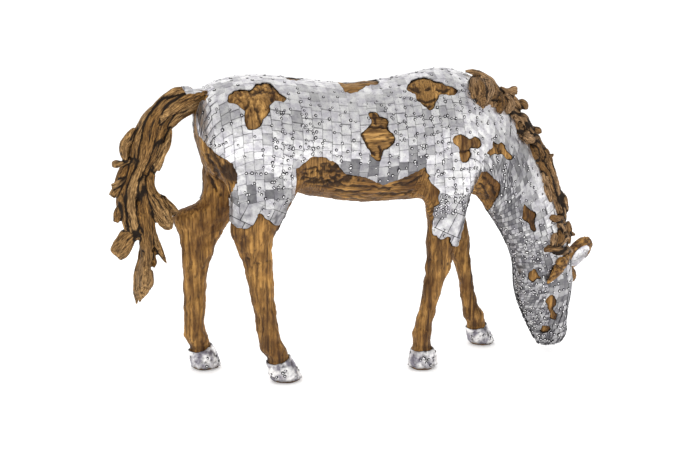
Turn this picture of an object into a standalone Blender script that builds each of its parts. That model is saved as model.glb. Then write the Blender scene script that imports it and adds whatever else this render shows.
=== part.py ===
"""A grazing horse: a carved wooden body under a nailed metal skin, with driftwood mane and tail.

Metres, +Z up, the head towards +X and the horse's left side towards +Y.
"""

import math

import bmesh
import bpy
from mathutils import Vector

# The figure is drawn in its own unit, a hundred and fortieth of its height: a centimetre at 1.40 m.
# Every table below and every number in UNITs keeps the figure's proportions.
HEIGHT = 1.40
UNIT = HEIGHT / 140

# Metalwork and fits, which do not grow with the figure.
SHEET = 0.003
HOOF_SHEET = 0.003
FIT_GAP = 0.0003
SOLE_HEIGHT = 0.012
HOOF_WRAP_HEIGHT = 0.100
EAR_LINING = 0.003

# Fineness of the carved surfaces.
BODY_VOXEL = 1.3 * UNIT
BODY_SMOOTHING = 12
BODY_FILLING = 0.2 * UNIT
BODY_TRIANGLES = 1840
DRIFTWOOD_VOXEL = 0.8 * UNIT
DRIFTWOOD_SMOOTHING = 2
DRIFTWOOD_FILLING = 0.15 * UNIT
MANE_TRIANGLES = 760
TAIL_TRIANGLES = 800
TRUNK_SIDES = 24
LEG_SIDES = 16
BRANCH_SIDES = 10
SPLINE_STEPS = 3
EAR_STEPS = 2
BALL_SEGMENTS = 14
BALL_RINGS = 8

# Sections of the trunk, neck and head from the rump to the lips.
# Each is the top x, z, the bottom x, z, the half width and how much wider it is above than below.
TRUNK = [
    (-69.6, 120.5, -69.1, 111.0, 6.0, 0.0),
    (-68.2, 132.2, -67.5, 102.0, 13.0, 0.0),
    (-60.0, 137.6, -61.0, 94.0, 20.5, 0.0),
    (-45.0, 140.2, -45.0, 89.0, 24.0, -0.05),
    (-25.0, 138.2, -25.0, 85.6, 23.2, -0.12),
    (0.0, 134.6, 2.0, 79.3, 24.6, -0.14),
    (24.0, 137.0, 27.0, 78.9, 23.6, -0.12),
    (45.0, 141.0, 51.0, 81.8, 20.5, -0.10),
    (56.0, 138.6, 60.5, 80.5, 18.2, -0.05),
    (68.5, 131.5, 66.0, 77.5, 15.6, 0.0),
    (86.0, 110.8, 71.5, 69.8, 11.8, -0.05),
    (98.6, 85.2, 78.0, 59.3, 9.8, -0.08),
    (107.0, 61.4, 82.8, 48.8, 9.0, 0.0),
    (112.4, 45.6, 83.8, 38.5, 9.8, 0.10),
    (114.4, 33.5, 84.8, 29.5, 10.2, 0.10),
    (111.6, 23.5, 88.4, 20.5, 8.6, 0.05),
    (111.3, 13.0, 92.9, 10.8, 6.6, 0.0),
    (112.3, 7.5, 95.3, 5.6, 6.0, 0.0),
    (108.4, 3.0, 98.4, 1.2, 4.2, 0.0),
]

# The neck swings a little to the right between these, and the head turns with it.
TURN_START_X = 62.0
TURN_END_X = 100.0
HEAD_SWING = -4.5
HEAD_TURN = math.radians(14)

# Half thickness of every leg at a height, shared by all four.
LEG_THICKNESS = [(116, 11.0), (93, 9.8), (78, 7.9), (65, 6.1), (45, 5.1), (30, 4.7), (16, 4.8),
                 (11, 4.9), (5, 6.4), (-2, 7.2)]
LEG_TOP_SPREAD = 9.0
LEG_SPREAD = 14.0
LEG_SPREAD_HEIGHT = 88.0

# Sections down each leg: height, back x, front x.
LEGS = {
    "right_hind": [
        (116, -62.0, -31.0), (95, -58.5, -26.0), (84, -57.0, -28.0), (73, -58.3, -34.4),
        (66, -56.4, -38.0), (55, -51.4, -37.6), (42, -49.2, -36.8), (30, -47.0, -36.0),
        (18, -45.4, -33.6), (12, -42.2, -30.0), (8, -41.0, -27.8), (-2, -39.8, -23.2)],
    "left_hind": [
        (116, -62.0, -33.0), (95, -65.0, -31.0), (86, -64.8, -37.5), (80.5, -66.5, -42.5),
        (77, -78.0, -45.5), (74, -80.8, -49.0), (68, -77.8, -53.0), (61, -75.6, -58.6),
        (50, -75.2, -61.8), (34, -75.0, -63.6), (18, -75.6, -65.0), (12, -73.2, -61.8),
        (8, -72.8, -59.4), (-2, -71.8, -56.8)],
    "right_fore": [
        (112, 38.0, 60.0), (95, 36.0, 61.0), (84, 33.8, 56.2), (72, 35.6, 54.0),
        (58, 35.2, 50.4), (46, 34.4, 46.4), (36, 32.8, 42.8), (26, 30.6, 39.2),
        (19, 28.6, 38.2), (13, 29.4, 37.4), (8, 27.6, 40.6), (-2, 26.2, 41.8)],
    "left_fore": [
        (112, 38.0, 60.0), (95, 41.0, 62.0), (82, 45.0, 64.2), (68, 48.4, 65.0),
        (56, 54.4, 67.2), (44, 59.0, 68.8), (34, 61.8, 69.6), (26, 63.2, 70.6),
        (18, 63.6, 74.6), (12, 66.2, 76.4), (8, 67.0, 78.4), (-2, 68.6, 83.4)],
}

# Muscles and bones that swell the surface: x, z, how far out, radii along x, y and z, forward tilt.
MUSCLES = [
    (-49.0, 119.0, 10.5, 15.0, 11.5, 15.0, 0),
    (-45.0, 101.0, 12.5, 16.0, 11.0, 17.0, -10),
    (47.0, 110.0, 10.5, 12.5, 9.0, 24.0, 18),
    (56.0, 99.0, 9.5, 9.0, 8.5, 11.0, 0),
    (46.0, 91.0, 12.5, 11.0, 9.5, 13.0, 0),
]
FACE_BONES = [
    (93.5, 38.5, 4.8, 8.5, 5.0, 10.5, 0),
    (106.5, 34.0, 5.6, 5.5, 4.0, 6.0, 0),
]

# Lower edge of the metal skin in side view, from the tail to the chest, with the legs' own edges
# between the stretches. A leg's edge is a share of its depth from the back, and a height.
# The middle panel carries the top line and ends inside the body along the inner edge, and the side
# panels and patches reach out past the body's widest place.
SKIN_TOP = 150
SKIN_BACK = -80
PANEL_REACH = 50
PANEL_OVERLAP = 0.5
INNER_EDGE = [(-60, 110), (55, 104)]
THROAT_EDGE = [(70, 68), (77, 56), (77, SKIN_TOP)]
SHOULDER_FRONT = [(76, 86), (76, SKIN_TOP)]
RUMP_EDGE = [(SKIN_BACK, 133), (-64, 132.5), (-66, 130), (-68.5, 126), (-69, 111), (-66, 108),
             (-61, 105), (-56.5, 103.5), (-54.5, 99)]
HIND_EDGE = [(0.12, 95), (0.04, 90), (0.04, 77), (0.18, 74.5), (0.38, 74.8), (0.52, 80.5),
             (0.70, 76.8), (0.92, 74.3), (1.0, 82), (0.94, 94)]
BELLY_EDGE = [(-29, 100), (-22, 105.5), (-16, 105), (-10.5, 101.8), (-6.5, 97), (3, 95),
              (11.5, 90.7), (22.5, 94.3), (31, 98)]
FORE_EDGE = [(0.02, 91), (0.16, 88), (0.18, 82), (0.08, 74), (0.06, 66), (0.20, 64),
             (0.46, 65.4), (0.58, 61.8), (0.82, 59.6), (1.04, 62), (1.06, 86)]
CHEST_EDGE = [(60.5, 93.5), (64, 93.5), (69, 89), (72, 86.5), (72, 83), (70.5, 77)]
HEAD_SPACE = [(74, SKIN_TOP), (74, 62.5), (79, 52), (79.5, 40), (84.5, 4), (84.5, -5), (135, -5),
              (135, SKIN_TOP)]

# Patches of bare wood in the skin of the right side, in side view.
PATCHES = {
    "rump": [(-57, 130), (-54, 134), (-47, 134.8), (-42, 137), (-37, 136.7), (-32, 130.5),
             (-37, 130.2), (-40.5, 125), (-44, 120), (-49, 118), (-51, 124.5), (-53, 128)],
    "flank": [(5, 123.5), (13, 120.6), (12, 117), (15.5, 112), (15, 109), (10, 106),
              (8, 103.3), (5.5, 104), (0.8, 111.5), (1, 114.5), (4.5, 117)],
    "withers": [(26, 132), (29, 136), (35, 136.8), (43, 133), (49, 130.5), (46, 129),
                (40, 129), (37, 125.5), (33, 124), (28, 129)],
    "shoulder": [(44, 109), (48.5, 112), (51, 109), (55, 110.5), (59, 107), (54, 106),
                 (53.5, 102), (49, 99.4), (47.5, 102), (46.7, 106.5)],
    "neck_base": [(63.5, 99.4), (66, 107), (71.5, 106.2), (77, 99.5), (75, 97.5), (71, 100.8)],
    "mid_neck": [(84.5, 77), (90, 72), (91.3, 69.5), (90.2, 67), (91, 63.5), (89.5, 62.5),
                 (84, 69)],
    "jowl": [(88, 41), (91, 44), (94, 39.3), (91, 36.8), (89, 38)],
    "nose": [(97.3, 26.2), (99.6, 31), (101.9, 29), (101.7, 22.2), (103.9, 18.5), (100.6, 17.4),
             (99.4, 22)],
    "nostril": [(97, 11), (98.6, 14.6), (100.8, 11.5), (99, 9.8)],
}
# The left side repeats some of them, moved by x and z.
LEFT_PATCHES = {"rump": (4, -6), "flank": (-12, 5), "withers": (-4, -3), "shoulder": (2, 5),
                "neck_base": (2, -3)}
LEFT_PATCH_START = 2
# Patches on the back, in plan, cut from the top down to a level inside the body.
BACK_PATCH_LEVEL = 120
BACK_PATCHES = {
    "saddle": [(-3, -2), (-2, -8), (1, -9.5), (6, -6.5), (14, -6.5), (16, -3), (12, 1), (4, 2)],
    "loin": [(-31, -2), (-27, -4.5), (-22, -3.5), (-22.5, -1), (-27, 0)],
}

# Driftwood branches as rows of x, y, z and radius, and how thick they are to how wide.
MANE_BRANCHES = [
    (0.8, [(59, -2, 135, 2.6), (62, -6, 130.5, 5.8), (66, -10, 125, 5.8), (68.5, -12, 120, 2.4)]),
    (1.0, [(57, 0, 138, 1.4), (63, 0, 134.8, 3.4), (70, -1, 130, 4.6), (77.5, -1, 126.6, 3.8),
           (85, -1, 128, 1.3)]),
    (0.9, [(71, -9, 119.5, 3.4), (76, -8, 120.5, 5.6), (82, -4, 122, 4.6), (88.5, -1, 121.5, 2.2)]),
    (0.9, [(79, -8, 118.5, 3.0), (84, -7, 116, 4.8), (88, -5, 111.5, 4.2), (91.5, -3, 109.5, 2.2)]),
    (0.9, [(83, -8, 109, 2.8), (88.5, -7, 106, 4.6), (93, -4, 103.5, 4.0), (95.5, -2, 106.5, 1.8)]),
    (0.8, [(87.5, -8, 102, 3.0), (92.6, -7, 95.6, 4.8), (97, -7, 87.6, 5.0), (100.6, -7, 79.5, 4.8),
           (103.2, -8, 71.6, 3.8)]),
    (0.8, [(97, -3, 97.5, 3), (100.5, -3, 96.5, 2), (103.4, -3, 96, 1.1)]),
    (0.8, [(97, -9, 85, 3.2), (101, -8, 75.6, 4.8), (104.4, -8, 67.6, 4.4), (106.4, -8, 61.8, 3)]),
    (0.8, [(100.5, -12, 66, 1.2), (105, -11, 66.5, 2.6), (109.5, -8, 65.5, 3.6)]),
    (0.8, [(104, -11, 60, 3.6), (108.5, -9, 57, 4.8), (112.5, -6, 56, 3.2), (116.5, -5, 55.8, 1.1)]),
    (0.7, [(98, -14.5, 50.5, 1.2), (103, -14, 51, 3.2), (108, -11, 51.5, 4.6), (113.5, -7, 52, 3.0)]),
]
TAIL_BRANCHES = [
    (0.8, [(-62, -1, 133, 1.6), (-69, 0, 132, 4.2), (-76, 0, 128.6, 5.6), (-83, 0, 123, 6.8),
           (-89.6, 0, 115.5, 8.2), (-94, 0, 106, 9.0), (-96.5, 0, 95, 9.4), (-96.5, 0, 84, 8.6),
           (-95, 0, 73, 6.6), (-94, 0, 62, 4.2), (-93.8, 0, 52, 3.5), (-94.8, 0, 44, 2.6),
           (-96.2, 0, 37.5, 1.1)]),
    (0.8, [(-91.5, 0, 91, 4.4), (-87.5, 0, 84, 4.6), (-83.5, 0, 77, 3.8), (-81.5, 0, 71, 2.0)]),
    (0.8, [(-93, 0, 78, 4.6), (-89.5, 0, 68, 4.0), (-87.5, 0, 61, 3.2), (-84.2, 0, 54.5, 1.4)]),
    (0.8, [(-98, 0, 74, 4.6), (-101.5, 0, 67, 4.6), (-104.8, 0, 61.2, 4.4), (-109, 0, 60, 3.2)]),
    (0.8, [(-99, 0, 88, 5), (-103, 0, 79.5, 3.8), (-106, 0, 73.5, 1.5)]),
    (0.8, [(-96.5, 0, 101, 5), (-102.5, 0, 93.5, 4.8), (-106.8, 0, 87, 3.0)]),
    (0.8, [(-86.5, 0, 120, 3.8), (-83.5, 0, 118, 2.4), (-80.8, 0, 115.8, 1.2)]),
]
RIGHT_EAR = (0.5, [(110, -10, 50, 2.6), (107.5, -13.5, 46.5, 4.4), (102.5, -16, 41, 3.5),
                   (97.5, -16.5, 36, 0.9)])
LEFT_EAR = (0.6, [(110, 3, 42, 3.6), (116, 4.5, 41.5, 4.4), (121, 6, 44.6, 5.4),
                  (126.5, 7.5, 48.5, 5.2), (130.3, 8.5, 50.4, 2.6)])
LEFT_EAR_BOWL = ((123.2, 1.2, 44.6), (7.8, 6.0, 4.2), -40)
BROW_KNOB = ((116.6, 2.5, 35.4), (2.6, 2.8, 3.2), 0)

# The room round a hoof, before and behind it and on each side, in which its wrap is cut.
HOOF_SPACE_LENGTH = 6
HOOF_SPACE_WIDTH = 10

WOOD = ("carved_wood", (0.30, 0.16, 0.06), 0.6, 0)
DRIFTWOOD = ("driftwood", (0.22, 0.14, 0.08), 0.7, 0)
METAL = ("sheet_metal", (0.72, 0.72, 0.75), 0.3, 1)


def clear_scene():
    for old in list(bpy.data.objects):
        bpy.data.objects.remove(old)


def spline(rows, steps):
    """Rows of numbers along a smooth curve that passes through the given rows."""
    last = len(rows) - 1
    result = []
    for i in range(last):
        around = [rows[min(max(k, 0), last)] for k in (i - 1, i, i + 1, i + 2)]
        for step in range(steps):
            t = step / steps
            result.append([
                b + t / 2 * (c - a + t * (2 * a - 5 * b + 4 * c - d + t * (3 * b - a - 3 * c + d)))
                for a, b, c, d in zip(*around)])
    result.append(list(rows[last]))
    return result


def read_off(table, height, column=1):
    """The value beside a height in a table whose heights run downwards."""
    for upper, lower in zip(table, table[1:]):
        if height >= lower[0]:
            share = min(max((upper[0] - height) / (upper[0] - lower[0]), 0), 1)
            return upper[column] + (lower[column] - upper[column]) * share
    return table[-1][column]


def side_of(name):
    return -1 if name.startswith("right") else 1


def neck_turn(x):
    """Share of the head's swing and turn that the neck has reached at x."""
    share = min(max((x - TURN_START_X) / (TURN_END_X - TURN_START_X), 0), 1)
    return share * share * (3 - 2 * share)


def new_object(name, shape):
    mesh = bpy.data.meshes.new(name)
    shape.to_mesh(mesh)
    shape.free()
    return bpy.data.objects.new(name, mesh)


def loft(name, rings):
    """A closed skin through rings of equal point counts, with a fan over each end."""
    shape = bmesh.new()
    rows = [[shape.verts.new(point) for point in ring] for ring in rings]
    count = len(rings[0])
    for row, following in zip(rows, rows[1:]):
        for i in range(count):
            j = (i + 1) % count
            shape.faces.new((row[i], row[j], following[j], following[i]))
    for row in (rows[0], rows[-1]):
        centre = shape.verts.new(sum((v.co for v in row), Vector()) / count)
        for i in range(count):
            shape.faces.new((row[i], row[(i + 1) % count], centre))
    bmesh.ops.recalc_face_normals(shape, faces=shape.faces)
    return new_object(name, shape)


def trunk():
    rings = []
    for top_x, top_z, low_x, low_z, half_width, pear in spline(TRUNK, SPLINE_STEPS):
        middle_x = (top_x + low_x) / 2
        turned = neck_turn(max(middle_x, (top_x + TURN_START_X) / 2))
        along = Vector((math.cos(HEAD_TURN * turned), -math.sin(HEAD_TURN * turned), 0))
        sideways = Vector((-along.y, along.x, 0))
        middle = Vector((middle_x, HEAD_SWING * turned, (top_z + low_z) / 2))
        reach = along * ((top_x - low_x) / 2) + Vector((0, 0, (top_z - low_z) / 2))
        ring = []
        for i in range(TRUNK_SIDES):
            angle = 2 * math.pi * i / TRUNK_SIDES
            out = math.sin(angle) * half_width * (1 + pear * math.cos(angle))
            ring.append((middle + reach * math.cos(angle) + sideways * out) * UNIT)
        rings.append(ring)
    return loft("trunk", rings)


def leg(name):
    sections = LEGS[name]
    rings = []
    for height, back, front in spline(sections, SPLINE_STEPS):
        half = read_off(LEG_THICKNESS, height)
        up = min(max((height - LEG_SPREAD_HEIGHT) / (sections[0][0] - LEG_SPREAD_HEIGHT), 0), 1)
        out = side_of(name) * (LEG_SPREAD + (LEG_TOP_SPREAD - LEG_SPREAD) * up)
        ring = []
        for i in range(LEG_SIDES):
            angle = 2 * math.pi * i / LEG_SIDES
            x = (front + back) / 2 + (front - back) / 2 * math.cos(angle)
            ring.append(Vector((x, out + half * math.sin(angle), height)) * UNIT)
        rings.append(ring)
    return loft(name, rings)


def branch(name, thickness, rows, steps=SPLINE_STEPS):
    """A tapered branch, thickness times as thick across the horse as it is wide in side view."""
    path = spline(rows, steps)
    rings = []
    for i, (x, y, z, radius) in enumerate(path):
        ahead = Vector(path[min(i + 1, len(path) - 1)][:3])
        behind = Vector(path[max(i - 1, 0)][:3])
        wide = (ahead - behind).cross(Vector((0, 1, 0))).normalized()
        deep = wide.cross(ahead - behind).normalized() * thickness
        ring = []
        for k in range(BRANCH_SIDES):
            angle = 2 * math.pi * k / BRANCH_SIDES
            point = Vector((x, y, z)) + (wide * math.cos(angle) + deep * math.sin(angle)) * radius
            ring.append(point * UNIT)
        rings.append(ring)
    return loft(name, rings)


def ellipsoid(name, centre, radii, tilt, shrink=0.0):
    """A ball stretched along x, y and z, leant forward by tilt degrees and shrunk by some metres."""
    shape = bmesh.new()
    bmesh.ops.create_uvsphere(shape, u_segments=BALL_SEGMENTS, v_segments=BALL_RINGS, radius=1)
    lean = math.radians(tilt)
    for vert in shape.verts:
        x, y, z = (vert.co[k] * (radii[k] * UNIT - shrink) for k in range(3))
        leant = Vector((x * math.cos(lean) + z * math.sin(lean), y,
                        z * math.cos(lean) - x * math.sin(lean)))
        vert.co = leant + Vector(centre) * UNIT
    return new_object(name, shape)


def swellings():
    for side in (-1, 1):
        for x, z, out, *radii, tilt in MUSCLES:
            yield ellipsoid("muscle", (x, side * out, z), radii, tilt)
        for x, z, out, *radii, tilt in FACE_BONES:
            across = side * out
            centre = (x + across * math.sin(HEAD_TURN),
                      HEAD_SWING + across * math.cos(HEAD_TURN)
                      - (x - TURN_END_X) * math.sin(HEAD_TURN), z)
            yield ellipsoid("face_bone", centre, radii, tilt)


def prism(name, outline, axis, near, far):
    """An outline in side view (axis 1) or plan (axis 2), thick from near to far along that axis."""
    shape = bmesh.new()
    rows = []
    for level in (near, far):
        points = [(a, level, b) if axis == 1 else (a, b, level) for a, b in outline]
        rows.append([shape.verts.new(Vector(point) * UNIT) for point in points])
    shape.faces.new(rows[0])
    shape.faces.new(rows[1])
    for i in range(len(outline)):
        j = (i + 1) % len(outline)
        shape.faces.new((rows[0][i], rows[0][j], rows[1][j], rows[1][i]))
    bmesh.ops.recalc_face_normals(shape, faces=shape.faces)
    return new_object(name, shape)


def box(name, low, high):
    """A box between two corners in metres."""
    shape = bmesh.new()
    bmesh.ops.create_cube(shape, size=1)
    for vert in shape.verts:
        vert.co = Vector((low[k] + (high[k] - low[k]) * (vert.co[k] + 0.5) for k in range(3)))
    return new_object(name, shape)


def join_shells(name, objects):
    """One object holding every given mesh, still as separate shells."""
    shape = bmesh.new()
    for part in objects:
        shape.from_mesh(part.data)
        bpy.data.objects.remove(part)
    return new_object(name, shape)


class Workshop:
    """The collections that hold the pieces and the cutters, and the steps that need both."""

    def __init__(self):
        self.pieces = self.add_collection("horse_sculpture")
        self.cutters = self.add_collection("cutters")
        self.origin = bpy.data.objects.new("horse_origin", None)
        self.pieces.objects.link(self.origin)
        self.materials = {}

    def add_collection(self, name):
        collection = bpy.data.collections.new(name)
        bpy.context.scene.collection.children.link(collection)
        return collection

    def add_piece(self, piece, look):
        name, colour, roughness, metallic = look
        if name not in self.materials:
            material = bpy.data.materials.new(name)
            material.use_nodes = True
            shader = material.node_tree.nodes["Principled BSDF"]
            shader.inputs["Base Color"].default_value = (*colour, 1)
            shader.inputs["Roughness"].default_value = roughness
            shader.inputs["Metallic"].default_value = metallic
            self.materials[name] = material
        piece.data.materials.clear()
        piece.data.materials.append(self.materials[name])
        self.pieces.objects.link(piece)
        piece.parent = self.origin
        return piece

    def add_cutter(self, cutter):
        self.cutters.objects.link(cutter)
        cutter.hide_render = True
        cutter.display_type = "WIRE"
        return cutter

    def settle(self, piece):
        """Make the piece's modifiers its real mesh."""
        linked = piece.users_collection
        if not linked:
            self.cutters.objects.link(piece)
        bpy.context.view_layer.update()
        depsgraph = bpy.context.evaluated_depsgraph_get()
        mesh = bpy.data.meshes.new_from_object(piece.evaluated_get(depsgraph))
        piece.modifiers.clear()
        piece.data = mesh
        if not linked:
            self.cutters.objects.unlink(piece)
        return piece

    def fuse(self, piece, voxel, rounds, triangles, filling):
        """Melt the piece's shells into one smooth body of about so many triangles.

        Easing it unfolds every triangle, and filling gives back the girth that smoothing took.
        """
        melt = piece.modifiers.new("melt", "REMESH")
        melt.mode = "VOXEL"
        melt.voxel_size = voxel
        soften = piece.modifiers.new("soften", "SMOOTH")
        soften.factor = 0.5
        soften.iterations = rounds
        self.settle(piece)
        thin_out = piece.modifiers.new("thin_out", "DECIMATE")
        thin_out.ratio = triangles / (2 * len(piece.data.polygons))
        thin_out.use_collapse_triangulate = True
        ease = piece.modifiers.new("ease", "SMOOTH")
        ease.factor = 0.3
        ease.iterations = 2
        fill_out = piece.modifiers.new("fill_out", "DISPLACE")
        fill_out.strength = filling
        fill_out.mid_level = 0
        return self.settle(piece)

    def cut(self, piece, operation, cutter):
        """Boolean the piece with a cutter and keep its largest body."""
        if cutter.name not in self.cutters.objects:
            self.add_cutter(cutter)
        boolean = piece.modifiers.new(operation.lower(), "BOOLEAN")
        boolean.operation = operation
        boolean.solver = "EXACT"
        boolean.object = cutter
        self.settle(piece)
        keep_largest_body(piece)
        return piece


def keep_largest_body(piece):
    shape = bmesh.new()
    shape.from_mesh(piece.data)
    waiting = set(shape.verts)
    bodies = []
    while waiting:
        reached = [waiting.pop()]
        for vert in reached:
            for edge in vert.link_edges:
                other = edge.other_vert(vert)
                if other in waiting:
                    waiting.remove(other)
                    reached.append(other)
        bodies.append(reached)
    bodies.sort(key=len)
    for small in bodies[:-1]:
        bmesh.ops.delete(shape, geom=small, context="VERTS")
    shape.to_mesh(piece.data)
    shape.free()


def grown(name, piece, distance):
    """A copy of the piece with its surface moved outwards."""
    mesh = piece.data.copy()
    normals = [vert.normal.copy() for vert in mesh.vertices]
    for vert, normal in zip(mesh.vertices, normals):
        vert.co += normal * distance
    return bpy.data.objects.new(name, mesh)


def carved_body(shop):
    shells = [trunk(), *swellings(), *(leg(name) for name in LEGS)]
    body = join_shells("carved_wood_body", shells)
    shop.fuse(body, BODY_VOXEL, BODY_SMOOTHING, BODY_TRIANGLES, BODY_FILLING)
    reach = 3 * HEIGHT
    shop.cut(body, "DIFFERENCE", box("floor", (-reach, -reach, -reach), (reach, reach, 0)))
    return shop.add_piece(body, WOOD)


def sheet_over(name, body, thickness):
    """The hollow skin of a given thickness that would cover the whole body."""
    skin = grown(name, body, FIT_GAP)
    shell = skin.modifiers.new("sheet", "SOLIDIFY")
    shell.thickness = thickness
    shell.offset = 1
    return skin


def leg_edge(name, edge):
    """A leg's stretch of the skin's edge in side view, at its own pose."""
    points = []
    for share, height in edge:
        back = read_off(LEGS[name], height, 1)
        front = read_off(LEGS[name], height, 2)
        points.append((back + share * (front - back), height))
    return points


def skin_outlines(shop):
    """The space that the metal skin fills: the top line, the head, and each side with its thighs."""
    corner = (SKIN_BACK, SKIN_TOP)
    middle = [corner, *RUMP_EDGE[:5], *INNER_EDGE, *CHEST_EDGE, *THROAT_EDGE]
    half_width = LEG_SPREAD + PANEL_OVERLAP
    whole = shop.add_cutter(prism("skin_middle", middle, 1, -half_width, half_width))
    shop.cut(whole, "UNION", prism("skin_head", HEAD_SPACE, 1, -PANEL_REACH, PANEL_REACH))
    for side in ("right", "left"):
        outline = [corner, *RUMP_EDGE, *leg_edge(side + "_hind", HIND_EDGE), *BELLY_EDGE,
                   *leg_edge(side + "_fore", FORE_EDGE), *CHEST_EDGE[:5], *SHOULDER_FRONT]
        near = side_of(side) * LEG_SPREAD
        panel = prism("skin_" + side, outline, 1, near, side_of(side) * PANEL_REACH)
        shop.cut(whole, "UNION", panel)
    return whole


def patch_cutters():
    cutters = []
    for name, outline in PATCHES.items():
        cutters.append(prism("patch_" + name, outline, 1, -PANEL_REACH, HEAD_SWING))
    for name, (ahead, up) in LEFT_PATCHES.items():
        moved = [(x + ahead, z + up) for x, z in PATCHES[name]]
        cutters.append(prism("left_patch_" + name, moved, 1, LEFT_PATCH_START, PANEL_REACH))
    for name, outline in BACK_PATCHES.items():
        cutters.append(prism("back_patch_" + name, outline, 2, BACK_PATCH_LEVEL, SKIN_TOP))
    return cutters


def metal_skin(shop, body):
    skin = sheet_over("metal_tile_skin", body, SHEET)
    shop.settle(skin)
    shop.cut(skin, "INTERSECT", skin_outlines(shop))
    shop.cut(skin, "DIFFERENCE", join_shells("bare_patches", patch_cutters()))
    return shop.add_piece(skin, METAL)


def hoof_wraps(shop, body):
    for name, sections in LEGS.items():
        _, back, front = sections[-1]
        y = side_of(name) * LEG_SPREAD
        low = ((back - HOOF_SPACE_LENGTH) * UNIT, (y - HOOF_SPACE_WIDTH) * UNIT, SOLE_HEIGHT)
        high = ((front + HOOF_SPACE_LENGTH) * UNIT, (y + HOOF_SPACE_WIDTH) * UNIT,
                HOOF_WRAP_HEIGHT)
        wrap = sheet_over(name + "_hoof_wrap", body, HOOF_SHEET)
        shop.settle(wrap)
        shop.cut(wrap, "INTERSECT", box(name + "_hoof_space", low, high))
        shop.add_piece(wrap, METAL)


def driftwood(shop, name, branches, triangles, body_space):
    shells = [branch(name, thickness, rows) for thickness, rows in branches]
    wood = join_shells(name, shells)
    shop.fuse(wood, DRIFTWOOD_VOXEL, DRIFTWOOD_SMOOTHING, triangles, DRIFTWOOD_FILLING)
    shop.cut(wood, "DIFFERENCE", body_space)
    return shop.add_piece(wood, DRIFTWOOD)


def ears(shop, body_space, mane_space):
    right = branch("right_ear", *RIGHT_EAR, EAR_STEPS)
    left = branch("left_ear", *LEFT_EAR, EAR_STEPS)
    lining = branch("left_ear_lining", *LEFT_EAR, EAR_STEPS)
    shop.cut(left, "DIFFERENCE", ellipsoid("ear_bowl", *LEFT_EAR_BOWL))
    shop.cut(lining, "INTERSECT", ellipsoid("lining_outside", *LEFT_EAR_BOWL, FIT_GAP))
    shop.cut(lining, "DIFFERENCE", ellipsoid("lining_inside", *LEFT_EAR_BOWL, FIT_GAP + EAR_LINING))
    knob = ellipsoid("brow_knob", *BROW_KNOB)
    blank = branch("ear_blank", *LEFT_EAR, EAR_STEPS)
    shop.cut(knob, "DIFFERENCE", grown("left_ear_space", blank, FIT_GAP))
    for piece, look in ((right, WOOD), (left, WOOD), (lining, METAL), (knob, WOOD)):
        shop.cut(piece, "DIFFERENCE", body_space)
        shop.cut(piece, "DIFFERENCE", mane_space)
        shop.add_piece(piece, look)


def stand_on_origin(shop):
    """Put the middle of the whole horse over the origin, with the soles on the floor."""
    bpy.context.view_layer.update()
    points = [vert.co for piece in shop.pieces.objects if piece.data for vert in piece.data.vertices]
    for k in (0, 1):
        shop.origin.location[k] = -(min(p[k] for p in points) + max(p[k] for p in points)) / 2


def main():
    clear_scene()
    shop = Workshop()
    body = carved_body(shop)
    metal_skin(shop, body)
    hoof_wraps(shop, body)
    body_space = shop.add_cutter(grown("body_space", body, SHEET + 2 * FIT_GAP))
    mane = driftwood(shop, "driftwood_mane", MANE_BRANCHES, MANE_TRIANGLES, body_space)
    driftwood(shop, "driftwood_tail", TAIL_BRANCHES, TAIL_TRIANGLES, body_space)
    mane_space = shop.add_cutter(grown("mane_space", mane, FIT_GAP))
    ears(shop, body_space, mane_space)
    stand_on_origin(shop)


if __name__ == "__main__":
    main()
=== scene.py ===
"""A grazing horse of carved wood in nailed metal squares, with a mane and tail of driftwood."""

import math
import random

import bmesh
import bpy
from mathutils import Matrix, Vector, noise
from mathutils.bvhtree import BVHTree
from mathutils.kdtree import KDTree


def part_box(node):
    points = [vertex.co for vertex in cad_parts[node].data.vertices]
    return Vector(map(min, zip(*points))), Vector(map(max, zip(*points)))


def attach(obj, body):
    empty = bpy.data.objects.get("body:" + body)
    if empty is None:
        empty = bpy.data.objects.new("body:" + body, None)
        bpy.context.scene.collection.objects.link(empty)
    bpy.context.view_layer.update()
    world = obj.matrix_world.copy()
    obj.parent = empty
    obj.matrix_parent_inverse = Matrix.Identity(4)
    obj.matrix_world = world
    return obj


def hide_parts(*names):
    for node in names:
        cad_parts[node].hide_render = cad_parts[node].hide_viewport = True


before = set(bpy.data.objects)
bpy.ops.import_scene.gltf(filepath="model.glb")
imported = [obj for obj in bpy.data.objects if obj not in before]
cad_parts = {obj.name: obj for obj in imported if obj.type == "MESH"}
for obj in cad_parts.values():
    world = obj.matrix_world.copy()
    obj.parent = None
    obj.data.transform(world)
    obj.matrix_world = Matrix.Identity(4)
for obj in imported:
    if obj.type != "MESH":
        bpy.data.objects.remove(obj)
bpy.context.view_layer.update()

# The camera looks at the horse's right side from a little above and behind its middle.
SIGHT_POINT = Vector((-0.111, -0.077, 0.70))
SIGHT_DISTANCE = 6.0
SIGHT_AZIMUTH = math.radians(-16)
SIGHT_ELEVATION = math.radians(12.5)

camera_data = bpy.data.cameras.new("camera")
camera_data.sensor_width = 36
camera_data.lens = 67
camera = bpy.data.objects.new("camera", camera_data)
towards_camera = Vector((math.sin(SIGHT_AZIMUTH) * math.cos(SIGHT_ELEVATION),
                         -math.cos(SIGHT_AZIMUTH) * math.cos(SIGHT_ELEVATION),
                         math.sin(SIGHT_ELEVATION)))
camera.location = SIGHT_POINT + towards_camera * SIGHT_DISTANCE
camera.rotation_euler = towards_camera.to_track_quat("Z", "Y").to_euler()
bpy.context.scene.collection.objects.link(camera)
bpy.context.scene.camera = camera
bpy.context.scene.view_settings.view_transform = "Standard"

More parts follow.
